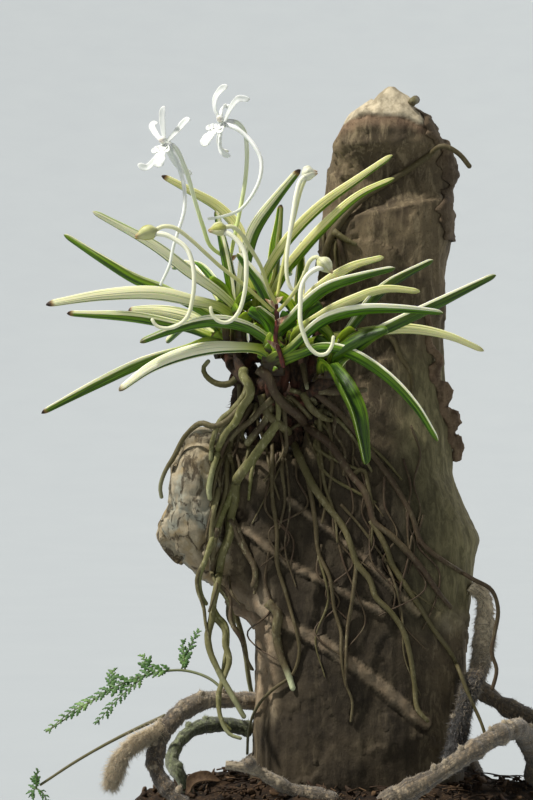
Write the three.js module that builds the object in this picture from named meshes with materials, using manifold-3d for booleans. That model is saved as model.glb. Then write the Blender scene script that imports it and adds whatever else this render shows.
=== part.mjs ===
// Wind orchid (Vanda falcata) growing on an upright weathered rock, with fern rhizomes round its foot.
// Millimetres, +Z up, +X to the right and +Y to the back. The origin is the middle of the rock's flat
// underside, which stands on the same surface as the peat round it.

import * as THREE from 'three';
import Module from 'manifold-3d';

const wasm = await Module();
wasm.setup();

// ---------------------------------------------------------------- driving dimensions

const GAP = 0.35; // clearance between neighbouring solids
const FACET_TOLERANCE = 0.1; // facets flatter than this are joined
const CRUMB = 4; // a body smaller than this, in mm3, is a loose scrap of a cut

const ROCK_HEIGHT = 233.3;
const ROCK_SIDES = 28;
const LOBE_SIDES = 18;
const ROCK_RING_STEP = 9; // height between two rings of the rock's column
const ROCK_SQUARENESS = 2.7; // exponent of the superellipse: 2 is round, more is squarer
const FLUTE_DEPTH = 0.8; // upright grooves of the weathered faces
const LEDGE_DEPTH = 1.3; // level ledges of the bedded stone
const LEDGE_PITCH = 23;
const RIDGE_HALF_WIDTH = 2; // slanting ribs across the rock's face
const RIDGE_HALF_HEIGHT = 1.5;

const ROOT_STEP = 7.2; // length of one straight stretch of a root
const ROOT_SIDES = 5;
const THIN_ROOT = 1.05; // a root of this radius or less has four sides and longer stretches
const THIN_ROOT_STEP = 8.3;
const ROOT_TAPER = 0.8; // radius at a root's tip as a share of that at its foot
const CROWN_RADIUS = 3.2; // the stem base that a bunch of roots grows from
const CROWN_TAPER = 0.85;
const ROOT_SLACK = 0.1; // how far a root stands off the rock, past its radius and the gap
const INSIDE_FACE = 2; // y that lies behind the rock's face everywhere

const LEAF_OPENING = THREE.MathUtils.degToRad(108); // angle between the two halves of the folded blade
const LEAF_EDGE = 0.75; // thickness at the margin
const LEAF_RIB = 1.3; // thickness at the fold
const LEAF_STATIONS = [0, 0.14, 0.36, 0.6, 0.82, 0.94, 1];
const LEAF_WIDTHS = [0.6, 0.86, 1, 0.98, 0.84, 0.54, 0.14]; // share of the blade's width at each station
const SHEATH_DROP = 5; // height from a blade's foot down to where its sheath leaves the stem's middle
const STEM_HALF_WIDTH = 4.3; // the fan's flattened stem
const STEM_HALF_DEPTH = 2.3;

const TEPAL_WIDTH = 3;
const TEPAL_THICKNESS = 0.9;
const THROAT_RADIUS = 1.5;
const PEDICEL_RADIUS = 0.8;
const SPUR_RADIUS = 0.7;
const STALK_RADIUS = 1.1;
const BRACT_LENGTH = 4.5;

const RIB_RADIUS = 0.9; // the frond's main rib at its foot
const RIB_TIP_RADIUS = 0.5;
const LOBE_REACH = 3.4; // half width of a side rib's blade at its widest lobe
const NOTCH_REACH = 1; // and in the notches between the lobes
const FROND_THICKNESS = 0.8;

const PEAT_HEIGHT = 13;
const PEAT_CENTRE = [-4, 2];
const PEAT_REACH = [68, 46]; // half its length and half its depth
const PEAT_SIDES = 26;
const PEAT_EDGE = 1.6; // height of the mound's rim

const GREEN = { color: 0x6f8a3c, roughness: 0.45 };
const DEEP_GREEN = { color: 0x4c6b34, roughness: 0.45 };
const CREAM_GREEN = { color: 0xb9bf6c, roughness: 0.45 };
const WHITE_PETAL = { color: 0xf4f3ea, roughness: 0.5 };
const PALE_BUD = { color: 0xdde0b8, roughness: 0.5 };
const STALK_RED = { color: 0x6b2f26, roughness: 0.6 };
const ROOT_GREY = { color: 0x8a8866, roughness: 0.8 };
const STONE_BUFF = { color: 0x8f8068, roughness: 0.9 };
const PEAT_BROWN = { color: 0x2b2119, roughness: 1 };
const FUR_TAN = { color: 0x9a8768, roughness: 0.95 };
const FROND_GREEN = { color: 0x5f8a45, roughness: 0.6 };

// ---------------------------------------------------------------- solids

const point = ([x, y, z]) => new THREE.Vector3(x, y, z);
const curveThrough = (path) => new THREE.CatmullRomCurve3(path.map(point), false, 'centripetal');
const union = (solids) => wasm.Manifold.union(solids);

/** Solid from a list of points and a list of triangles that face out. */
function solidOf(points, triangles) {
  return new wasm.Manifold(new wasm.Mesh({
    numProp: 3,
    vertProperties: new Float32Array(points.flatMap((p) => [p.x, p.y, p.z])),
    triVerts: new Uint32Array(triangles),
  }));
}

/** Solid skinned over a row of rings, each with its points anticlockwise when looking back down the row. */
function skin(rings) {
  const sides = rings[0].length;
  const points = rings.flat();
  const middle = (ring) => ring.reduce((sum, p) => sum.add(p), new THREE.Vector3()).divideScalar(sides);
  const foot = points.push(middle(rings[0])) - 1;
  const head = points.push(middle(rings.at(-1))) - 1;
  const last = (rings.length - 1) * sides;
  const triangles = [];
  for (let i = 0; i < sides; i++) {
    const j = (i + 1) % sides;
    triangles.push(foot, j, i, head, last + i, last + j);
    for (let a = 0; a < last; a += sides) {
      const b = a + sides;
      triangles.push(a + i, a + j, b + j, a + i, b + j, b + i);
    }
  }
  return solidOf(points, triangles);
}

/**
 * Solid swept along a smooth path. outline(t) lists the section's corners as [across, out], for t from 0
 * to 1. Across follows the direction `side`, or stays square to the direction `facing`, or turns as little
 * as it can where neither is given.
 */
function sweep(path, stations, outline, { side, facing } = {}) {
  const curve = curveThrough(path);
  let across = new THREE.Vector3(0.31, 0.94, 0.12);
  const rings = stations.map((t) => {
    const along = curve.getTangentAt(t);
    if (side) across = side.clone();
    if (facing) across = new THREE.Vector3().crossVectors(facing, along);
    across = across.clone().addScaledVector(along, -across.dot(along)).normalize();
    const out = new THREE.Vector3().crossVectors(along, across);
    const at = curve.getPointAt(t);
    return outline(t).map(([a, o]) => at.clone().addScaledVector(across, a).addScaledVector(out, o));
  });
  return skin(rings);
}

const evenly = (count) => Array.from({ length: count + 1 }, (_, k) => k / count);

/** Corners of a round or flattened section. */
function roundOutline(halfWidth, halfDepth, sides) {
  return Array.from({ length: sides }, (_, i) => {
    const angle = (i / sides) * 2 * Math.PI;
    return [halfWidth * Math.cos(angle), halfDepth * Math.sin(angle)];
  });
}

/** Round tube with a blunt tip, radius from `from` at its foot to `to` at its tip. */
function tube(path, from, to, grow, { sides = ROOT_SIDES, step = ROOT_STEP } = {}) {
  const length = curveThrough(path).getLength();
  const count = Math.max(2, Math.round(length / step));
  const shoulder = 1 - (0.8 * to) / length;
  const stations = [...evenly(count).filter((t) => t < shoulder - 0.3 / count), shoulder, 1];
  return sweep(path, stations, (t) => {
    const radius = THREE.MathUtils.lerp(from, to, t) * (t === 1 ? 0.5 : 1) + grow;
    return roundOutline(radius, radius, sides);
  });
}

/** Egg-shaped solid along a short straight or bent path. */
function egg(path, radius, grow, sides = 6) {
  return sweep(path, evenly(5), (t) => {
    const swell = Math.sqrt(Math.max(0.05, 1 - (2 * t - 1) ** 2));
    return roundOutline(radius * swell + grow, radius * swell + grow, sides);
  });
}

// ---------------------------------------------------------------- rock

// The column's extent at each height: z, left, right, front, back.
const COLUMN = [
  [0, -34.5, 36, -24, 34], [20, -33.5, 35.5, -24, 34], [50, -32, 36.5, -22, 32], [66, -33, 37, -21, 31],
  [80, -32, 39, -20, 31], [88, -31, 40.2, -19, 31], [96.5, -29, 36.4, -18, 30], [109, -25, 32, -15, 29],
  [125, -18, 31, -11, 28], [139, -14.8, 29.4, -9.5, 26], [152, -13, 28.8, -8, 25], [178, -12, 30, -7.5, 24],
  [190, -11.2, 32, -7, 23], [194, -10.4, 31.3, -6, 23], [199, -10, 31.8, -2.5, 22],
  [204.5, -9, 33.2, -1.5, 22], [211, -7.6, 31, -2, 21], [214.5, -6.8, 29.8, -5.6, 21],
  [219.5, -4.6, 27, -6.4, 19], [223.5, -2.6, 24.4, -5, 17], [226.6, 0.2, 20.6, -3, 14],
  [230.4, 6.6, 15.6, -0.5, 10], [ROCK_HEIGHT, 8.6, 12.6, 1.5, 6],
];

// The lobe that juts out to the left: x, top, bottom, front, back.
const LOBE = [
  [-61.4, 98.5, 89, -5, 8], [-59.2, 106, 85.4, -10, 12], [-56.6, 113.6, 82.6, -13, 14],
  [-53.4, 120, 80.6, -15, 16], [-49.6, 122.4, 76.5, -16, 17], [-45.1, 121.3, 73, -14, 18],
  [-40, 119.4, 68.8, -10.5, 18], [-33.6, 119.7, 61.4, -12, 18], [-27.8, 115.2, 54, -15, 18],
  [-20.8, 114, 52, -16, 18], [-5, 108, 58, -6, 16],
];

// Slanting ribs on the face, as x, z.
const RIBS = [
  [[-40, 73.5], [-30.5, 67], [-18.5, 60.5], [-8, 55], [1, 48.5], [8.5, 42.5], [16.5, 35.5], [21.5, 31.5]],
  [[-35.5, 92], [-21.5, 81.5], [-6, 73.5], [8, 66]],
  [[-21.5, 101.5], [-10.5, 93.5], [2, 83], [9.5, 76], [19, 66]],
];

/** The row of a table at a value of its first column, between the rows it lists. */
function rowAt(table, value) {
  const next = Math.max(1, table.findIndex((row) => row[0] >= value));
  const [low, high] = [table[next - 1], table[next]];
  const share = (value - low[0]) / (high[0] - low[0]);
  return low.map((number, i) => THREE.MathUtils.lerp(number, high[i], share));
}

/** How far the weathered surface lies inside the rock's plain outline. */
function wear(angle, height) {
  const flutes = 1 + 0.6 * Math.sin(9 * angle + height / 19) + 0.4 * Math.sin(16 * angle - height / 31 + 1);
  const rise = ((height + 5 * Math.sin(angle + 0.6)) / LEDGE_PITCH) % 1;
  const ledge = rise < 0.78 ? rise / 0.78 : (1 - rise) / 0.22;
  return FLUTE_DEPTH * 0.5 * flutes + LEDGE_DEPTH * ledge;
}

/** Ring of a squarish section: its middle, its half sizes and the two directions that it lies in. */
function squarishRing(sides, grow, place, height, [cu, cv], [ru, rv]) {
  return Array.from({ length: sides }, (_, i) => {
    const angle = (i / sides) * 2 * Math.PI;
    const [c, s] = [Math.cos(angle), Math.sin(angle)];
    const reach = (Math.abs(c) ** ROCK_SQUARENESS + Math.abs(s) ** ROCK_SQUARENESS) ** (-1 / ROCK_SQUARENESS);
    const inset = Math.min(wear(angle, height), 0.25 * Math.min(ru, rv)) - grow;
    return place(cu + (ru - inset) * reach * c, cv + (rv - inset) * reach * s);
  });
}

function rockColumn(grow) {
  const rings = [];
  const count = Math.round(ROCK_HEIGHT / ROCK_RING_STEP);
  for (let k = 0; k <= count; k++) {
    const z = (k / count) * ROCK_HEIGHT;
    const [, left, right, front, back] = rowAt(COLUMN, z);
    const lift = k === 0 ? -grow : k === count ? grow : 0;
    const place = (x, y) => new THREE.Vector3(x, y, z + lift);
    const middle = [(left + right) / 2, (front + back) / 2];
    rings.push(squarishRing(ROCK_SIDES, grow, place, z, middle, [(right - left) / 2, (back - front) / 2]));
  }
  return skin(rings);
}

function rockLobe(grow) {
  const rings = LOBE.map(([x, top, bottom, front, back], k) => {
    const place = (y, z) => new THREE.Vector3(k === 0 ? x - grow : x, y, z);
    const middle = [(front + back) / 2, (top + bottom) / 2];
    return squarishRing(LOBE_SIDES, grow, place, 2 * x, middle, [(back - front) / 2, (top - bottom) / 2]);
  });
  return skin(rings);
}

/** three.js geometry of indexed triangles. */
function geometryOf(vertices, triangles) {
  const geometry = new THREE.BufferGeometry();
  geometry.setAttribute('position', new THREE.BufferAttribute(new Float32Array(vertices), 3));
  geometry.setIndex(Array.from(triangles));
  geometry.computeVertexNormals();
  return geometry;
}

const FRONT = { from: -200, heading: 1 };
const BACK = { from: 200, heading: -1 };
const anySide = new THREE.MeshBasicMaterial({ side: THREE.DoubleSide });

/** Surface that a root can be laid on. */
function targetOf(solid) {
  const { vertProperties, triVerts } = solid.getMesh();
  return new THREE.Mesh(geometryOf(vertProperties, triVerts), anySide);
}

/** The y of a surface at x, z, met from the front or from the back, or null beside it. */
function surfaceAt(target, x, z, view) {
  const ray = new THREE.Raycaster(new THREE.Vector3(x, view.from, z), new THREE.Vector3(0, view.heading, 0));
  const hit = ray.intersectObject(target)[0];
  return hit ? hit.point.y : null;
}

/**
 * Path that hangs as its points say, [x, y, z] in the air and [x, z] on the rock, and that lies on the rock
 * wherever the rock stands out further. `lift` is the height of its middle above the stone.
 */
function layOn(target, points, lift, view = FRONT) {
  const guide = curveThrough(points.map((p) => (p.length === 2 ? [p[0], INSIDE_FACE, p[1]] : p)));
  const count = Math.max(2, Math.round(guide.getLength() / ROOT_STEP));
  const outermost = (...depths) => view.heading * Math.min(...depths.map((depth) => view.heading * depth));
  const seatAt = (t) => {
    const at = guide.getPointAt(THREE.MathUtils.clamp(t, 0, 1));
    const surface = surfaceAt(target, at.x, at.z, view);
    return surface === null ? at.y : outermost(at.y, surface - view.heading * lift);
  };
  const laid = evenly(count).map((t) => {
    const at = guide.getPointAt(t);
    return [at.x, outermost(seatAt(t - 0.5 / count), seatAt(t), seatAt(t + 0.5 / count)), at.z];
  });
  for (let k = 1; k < count; k++) laid[k][1] = outermost(laid[k][1], (laid[k - 1][1] + laid[k + 1][1]) / 2);
  return laid;
}

const bareRock = targetOf(union([rockColumn(0), rockLobe(0)]));
const ribPaths = RIBS.map((rib) => layOn(bareRock, rib, 0));

function rock(grow) {
  const outline = () => roundOutline(RIDGE_HALF_WIDTH + grow, RIDGE_HALF_HEIGHT + grow, 4);
  const forward = new THREE.Vector3(0, -1, 0);
  const ribs = ribPaths.map((path) => sweep(path, evenly(path.length), outline, { facing: forward }));
  return union([rockColumn(grow), rockLobe(grow), ...ribs]);
}

const rockFace = targetOf(rock(0));

// ---------------------------------------------------------------- roots

// Each bunch: the crown's stem base that the roots grow from, then each root's radius and path.
const ROOT_BUNCHES = {
  roots_left: {
    crown: [[[-41.2, -2, 147.5], [-38.5, -8, 142.5], [-34, -14, 138], [-32, -15, 135]],
      [[-38, -9.5, 149.5], [-37, -11, 144], [-34, -14, 138]]],
    roots: [
      [1.5, [[-35.5, -12, 142], [-35.5, -17, 140], [-33.5, -20, 137], [-33.5, -20, 134], [-36, -19, 130.5],
        [-38, -18, 126], [-41, -17, 123], [-43, -16, 119], [-44, 115], [-45.5, 110], [-46.5, 104],
        [-46, 101]]],
      [1.3, [[-34, -14, 138], [-35, -16, 134.5], [-39, -17, 129.5], [-43, -17, 126], [-45, -17, 121],
        [-46, 113.5]]],
      [1.1, [[-36, -18, 131], [-41, -18, 126], [-45, -17, 124.5], [-49, -14, 125.5], [-54, -12, 121.5],
        [-57.5, -11, 115], [-60.5, -10, 110], [-62, -9, 105], [-61.5, -9, 101.5]]],
      [1.2, [[-37, -9, 141], [-40, -9, 138], [-44, -10, 138], [-47.5, -10, 140.5], [-48.3, -10, 143],
        [-46.3, -10, 145.5]]],
    ],
  },
  roots_front: {
    crown: [[[-26, -20, 141], [-26.5, -18, 136], [-26, -16, 131]],
      [[-30, -1, 150], [-28, -8, 142], [-26.5, -15, 135]]],
    roots: [
      [1.2, [[-26.5, -18, 133], [-29.5, -19, 130.5], [-33, -19, 126.5], [-37, -17, 123.5],
        [-40, -15, 120]]],
      [1.6, [[-31, -21, 142.5], [-27.5, -23, 139.5], [-26.5, -23, 136.5], [-23.5, -20, 132],
        [-18.5, -16, 128], [-14.5, 123.5], [-8.5, 119], [-5.5, 115], [-1.5, 109], [2.5, 104], [4.2, 99],
        [5.5, 94.5], [10.5, 90.5], [16.5, 84.5], [21.5, 78.5], [25.5, 72.5], [30, 67]]],
      [1.4, [[-30, -17, 134.5], [-28, -17, 128.5], [-23.5, -17, 124.5], [-20.5, 121], [-18.5, 116],
        [-16, 110.5], [-13.5, 105.5], [-10, 100.5], [-4, 92.5], [-1.5, 86], [0, 81.5], [4, 76.5], [6, 71],
        [10.5, 66.5], [14.5, 60.5], [16.5, 53.5], [18, 44], [19, 36], [22.5, 32]]],
      [1.4, [[-24.5, -18, 126], [-30, -18, 118.5], [-35, -17, 111], [-38, 106], [-40, 101.5], [-42, 97.5],
        [-44, 92.5], [-46, -16, 87.5], [-47.5, -15, 82.5], [-49.5, -14, 77], [-49, -14, 71.5],
        [-47, -14, 68]]],
      [1.6, [[-38, 106], [-38.3, 101], [-39.5, 97], [-40, 90], [-42, 85], [-43, 80], [-43.7, -15, 75],
        [-45, -15, 69], [-45.5, -15, 64], [-46.8, -16, 58.5], [-46, -17, 53.5], [-44, -18, 49],
        [-42, -19, 45], [-39, -20, 40], [-36.5, -21, 35.5], [-35, -21, 33]]],
      [1.2, [[-44, 92.5], [-45.2, 86], [-45.5, 80], [-44, -15, 75]]],
      [1.1, [[-45.5, -15, 65], [-41.5, -15, 60.5], [-41.3, -16, 56], [-40, -17, 51], [-41.5, -18, 46],
        [-43.5, -20, 40], [-42.5, -22, 33], [-40, -23, 28.5], [-36, -24, 27]]],
      [1.7, [[-25, 82], [-28, 76], [-28.5, 71], [-25.5, 66.5], [-25.5, 61], [-25, 55.5], [-23, 50],
        [-20, 42]]],
      [0.8, [[-26.5, -17, 131], [-26.5, 118], [-26.5, 103], [-25, 91], [-25, 81.5], [-22.5, 73],
        [-20.5, 66], [-18.5, 58.5], [-18, 54], [-20, 47], [-27, 41], [-31.5, 35], [-34, 27], [-34.5, 19]]],
      [0.8, [[-16, 110.5], [-14.5, 104], [-13, 94.5], [-12, 85], [-8.5, 77], [-7, 67], [-5, 60], [-5, 53.5],
        [-3.5, 44], [-1.5, 38.5], [-2, 32]]],
      [1, [[4.5, 95], [9, 87], [11, 81.5], [14, 76.5], [19, 69], [24, 61], [29.5, 53.5], [32.5, -19, 47],
        [35, -20, 40.5], [39, -21, 31.5], [41, -22, 25]]],
    ],
  },
  roots_right: {
    crown: [[[-7.5, -23, 140.5], [-12, -20, 137], [-17, -17, 134]],
      [[-17.5, -12, 147.5], [-17, -15, 140], [-17, -17, 134]]],
    roots: [
      [1.3, [[-17, -19, 135], [-14.5, -18, 130.5], [-11, -15, 127.5], [-5, 126]]],
      [1.1, [[-13, -19, 135], [-8, -17, 131], [-2, 125], [4.5, 116.5], [8.5, 111], [13, 104.5], [17.5, 96],
        [20, 88.5], [24, 84.5], [30, 80.5], [36.5, -16, 76.5], [42.5, -17, 73], [44.5, -17, 67],
        [43.5, -18, 60], [42.5, -18, 53.5], [44, -18, 48], [42.5, -18, 41.5]]],
      [1.5, [[-12, -20, 136], [-7, -19, 135.5], [-2, -17, 135.8], [3.5, -15, 136]]],
      [1.2, [[-17, -16, 144], [-16.5, -18, 141.5], [-16, -20, 138.5], [-15.5, -21, 136]]],
    ],
  },
  roots_climbing: {
    crown: [[[-13, -9.5, 148], [-12, -11, 153], [-11.5, -11, 160]]],
    roots: [
      [1.5, [[-12, -11, 158], [-11, 166], [-9.3, 180], [-6.5, 187], [1, 196], [12, 203.3], [18, 207],
        [23, 210.5], [28, -7, 213.5], [32.8, -7, 211], [36.6, -7, 206.5]]],
      [1.2, [[-7, 186.5], [-3.5, 184], [0.5, 182]]],
      [1.3, [[-11.5, -10, 162], [-6, 166], [-3.5, 172], [-4.5, 180], [-6, 187]]],
      [1.3, [[-13, -10, 151], [-4, 151], [4.5, 153], [11, 152.5], [14.5, 146], [17.5, 141], [18, 134]]],
    ],
  },
  roots_back: {
    crown: [[[-37.5, 3, 148], [-33, 2, 143], [-30, 1, 138]]],
    view: BACK,
    roots: [
      [1.4, [[-31, 2, 140], [-36, 8, 131], [-42, 16, 124], [-46, 21, 116], [-47, 104], [-45, 92],
        [-42, 23, 80], [-40, 24, 68], [-36, 27, 54], [-34, 30, 40], [-31, 34, 25]]],
      [1.5, [[-31, 2, 141], [-27, 9, 132], [-22, 20, 124], [-16, 27, 116], [-8, 104], [-2, 92], [4, 78],
        [7, 62], [14, 48], [17, 34]]],
      [1, [[-26, 11, 131], [-17, 22, 131], [-5, 130], [6, 123], [15, 110], [22, 96], [25, 80]]],
    ],
  },
};

function rootBunch({ crown, roots, view }, grow) {
  const stout = { sides: 6, step: 4.5 };
  const thin = { sides: 4, step: THIN_ROOT_STEP };
  const bases = crown.map((path) => tube(path, CROWN_RADIUS, CROWN_RADIUS * CROWN_TAPER, grow, stout));
  const strands = roots.map(([radius, path]) => {
    const laid = layOn(rockFace, path, radius + GAP + ROOT_SLACK, view);
    return tube(laid, radius, radius * ROOT_TAPER, grow, radius > THIN_ROOT ? {} : thin);
  });
  return union([...bases, ...strands]);
}

// ---------------------------------------------------------------- leaf fans

// Each fan: its flattened stem from foot to head, then each leaf's width, its roll in degrees and the path
// of its fold from where the blade opens to its tip.
const LEAF_FANS = {
  leaf_fan_front: {
    stem: [[-26.3, -21, 140.5], [-26.2, -21.5, 147], [-26, -22, 154]],
    colour: CREAM_GREEN,
    leaves: [
      [7, 42, [[-29.5, -23, 147.5], [-39.5, -26, 148.5], [-51, -28, 147], [-63.5, -31, 142.5],
        [-74, -33, 135.5]]],
      [6.5, 10, [[-31.5, -23, 153.5], [-43.5, -28, 156.5], [-56, -32, 154.5], [-67.5, -34, 150.5]]],
      [6.5, 0, [[-27.5, -22, 159], [-29, -23.5, 164], [-32, -25, 170], [-37.5, -26, 178.5]]],
      [5, 0, [[-27, -23.5, 156], [-29, -27, 159], [-31.5, -29.5, 161.5]]],
      [7, 12, [[-21, -24, 157], [-10, -29, 166.5], [0.5, -32, 170.5], [11.5, -33, 173.5]]],
      [7, 12, [[-20.5, -25, 148.5], [-10, -31, 157], [0.5, -34, 160], [13, -37, 160.5], [26, -38, 159.5]]],
      [7, 0, [[-18, -25, 146.5], [-11, -29, 148.5], [-3.5, -32, 147], [8, -35, 140], [17.5, -36, 130.5],
        [24.5, -35, 120]]],
    ],
  },
  leaf_fan_left: {
    stem: [[-38, -9.5, 148.5], [-38.5, -9.5, 157], [-39.2, -9.5, 165]],
    colour: CREAM_GREEN,
    leaves: [
      [7, 26, [[-42.5, -11, 161], [-52.5, -14, 163.5], [-64, -16, 165.5], [-80, -18, 165],
        [-97.5, -20, 162.5]]],
      [6.5, 0, [[-44, -8, 157.5], [-60, -7, 166.5], [-70, -6, 170.5], [-80.5, -5, 177], [-93, -4, 185.5]]],
      [6, 0, [[-38.5, -10, 161], [-42.5, -11, 165.5], [-53.5, -14, 173], [-64, -16, 181], [-83, -18, 192]]],
      [6.5, 0, [[-39.5, -9, 165], [-42, -9, 179], [-44.5, -8, 193]]],
      [8, 0, [[-36.5, -9, 164.5], [-33.5, -10, 179], [-31, -11, 186.5], [-24.5, -12, 196.5],
        [-17.5, -14, 205.5]]],
      [6.5, 0, [[-42, -7, 162], [-47, 12, 171], [-53, 30, 177], [-60, 48, 177]]],
    ],
  },
  leaf_fan_rear: {
    stem: [[-30, -1, 149], [-30.4, 0, 158], [-31, 0, 165]],
    colour: GREEN,
    leaves: [
      [6.5, 0, [[-33, 0, 169.5], [-35.5, 1, 177], [-37.5, 2, 186.5], [-44, 2, 194], [-53, 1, 199.5],
        [-62, 0, 204.5]]],
      [6.5, 0, [[-26.5, 0, 169.5], [-24.5, 1, 184], [-23.5, 2, 195.5]]],
      [6, 0, [[-31, -5, 165.5], [-27.5, -7, 174], [-20, -11, 184.5], [-10.5, -14, 194], [1, -15, 202.5],
        [11.5, -15, 210]]],
      [6, 0, [[-27, -3, 164], [-22.5, -8, 172.5], [-18, -12, 178], [-9.5, -16, 187.5], [1, -17, 197],
        [12, -17, 202.5]]],
      [6.5, 0, [[-31, 3, 165], [-33, 18, 171], [-36, 34, 172], [-37, 55, 165]]],
      [6.5, 0, [[-28, 4, 164], [-25, 20, 172], [-23, 36, 176], [-20, 52, 175]]],
    ],
  },
  leaf_fan_centre: {
    stem: [[-17.6, -12, 146.5], [-18, -12, 153], [-18.5, -12, 159]],
    colour: CREAM_GREEN,
    leaves: [
      [5.5, 0, [[-17.5, -12, 161], [-9.5, -18, 169], [-1, -20, 174.5], [8.5, -21, 177.5]]],
      [5.5, 0, [[-18.5, -16, 153.5], [-10.5, -21, 159], [-1, -25, 163.5], [8.5, -26, 167],
        [19.5, -27, 166.5]]],
      [5.5, 0, [[-18, -9, 161.5], [-17.2, -6, 173.5], [-17, -4, 183.5]]],
      [5.5, 0, [[-17, -14, 148.5], [-11.5, -18, 151.5], [3, -22, 153.5], [16, -24, 154.5],
        [28.5, -25, 152.5], [39.5, -25, 148]]],
    ],
  },
  leaf_fan_right: {
    stem: [[-7.6, -23.5, 139.5], [-6.8, -24.5, 145], [-6, -25, 149]],
    colour: DEEP_GREEN,
    leaves: [
      [7, 0, [[-4.5, -25, 151], [1, -25, 158.5], [8.5, -24, 167], [16, -23, 172], [24, -21, 176.5]]],
      [7, 0, [[-5, -28, 148.5], [0.5, -29, 151], [10.5, -30, 155], [21, -31, 160], [31.5, -31, 165.5],
        [43, -30, 171.5]]],
      [8, 15, [[-7, -30, 146], [-3.5, -33, 148.5], [2.5, -36, 152], [9, -38, 154.5]]],
      [7.5, 0, [[-9, -28, 143], [-7.5, -34, 141], [-5, -40, 136], [-1.5, -43, 128.5], [0.5, -43, 120.5],
        [2, -42, 113]]],
    ],
  },
  leaf_fan_low_left: {
    stem: [[-41.2, -2, 146.5], [-42, -1.5, 151], [-43, -1, 155]],
    colour: GREEN,
    leaves: [
      [6.5, 0, [[-47.5, -3, 150.5], [-54.5, -4, 148.5], [-66.5, -6, 144.5], [-81.5, -9, 137.5],
        [-99.5, -12, 128.5]]],
      [6.5, 0, [[-51, 1, 154.5], [-64, 2, 157.5], [-73.5, 3, 159], [-92.5, 4, 160.5]]],
      [8, 22, [[-47, 4, 155], [-53, 6, 158], [-65, 8, 161], [-73, 9, 161.5]]],
      [6.5, 0, [[-44, 3, 153], [-48, 20, 158], [-54, 36, 158], [-62, 52, 152]]],
      [6.5, 0, [[-41, 4, 152], [-38, 20, 155], [-36, 36, 152], [-36, 52, 143]]],
    ],
  },
};

/** Corners of the folded blade's section, at a share of its full width. */
function leafOutline(width, grow) {
  const halfWidth = (width / 2) * Math.sin(LEAF_OPENING / 2);
  const rise = (width / 2) * Math.cos(LEAF_OPENING / 2);
  const edge = LEAF_EDGE / 2 + grow;
  const rib = LEAF_RIB / 2 + grow;
  const reach = halfWidth + grow;
  const [low, high] = [rise - edge, rise + edge];
  return [[reach, low], [reach, high], [0, rib], [-reach, high], [-reach, low], [0, -rib]];
}

function leaf(width, roll, path, grow) {
  const heading = point(path.at(-1)).sub(point(path[0])).setZ(0).normalize();
  const side = new THREE.Vector3(-heading.y, heading.x, 0);
  side.applyAxisAngle(heading, THREE.MathUtils.degToRad(roll));
  const share = (t) => LEAF_WIDTHS[LEAF_STATIONS.indexOf(t)];
  return sweep(path, LEAF_STATIONS, (t) => leafOutline(width * share(t), grow), { side });
}

/** Point on a stem's middle line at a height, held to the stem's own ends. */
function stemPoint(stem, height) {
  const curve = curveThrough(stem);
  const share = (height - stem[0][2]) / (stem.at(-1)[2] - stem[0][2]);
  return curve.getPointAt(THREE.MathUtils.clamp(share, 0.15, 0.9)).toArray();
}

function leafFan({ stem, leaves }, grow) {
  const outline = (t) => {
    const taper = 1 - 0.45 * t * t;
    return roundOutline(STEM_HALF_WIDTH * taper + grow, STEM_HALF_DEPTH * taper + grow, 6);
  };
  const core = sweep(stem, evenly(3), outline, { side: new THREE.Vector3(1, 0, 0) });
  const blades = leaves.map(([width, roll, path]) =>
    leaf(width, roll, [stemPoint(stem, path[0][2] - SHEATH_DROP), ...path], grow));
  return union([core, ...blades]);
}

// ---------------------------------------------------------------- flowers

// The flower stalks, foot to head.
const FLOWER_STALKS = {
  flower_stalk_front: [[-23, -25, 143], [-24, -26.2, 147], [-25.5, -26.6, 151.5], [-25, -26.6, 157.5],
    [-25.5, -26, 164]],
  flower_stalk_rear: [[-36.3, -2.8, 156], [-37.3, -2.6, 164], [-38.5, -3.8, 171], [-40, -5.5, 178]],
};

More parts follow.
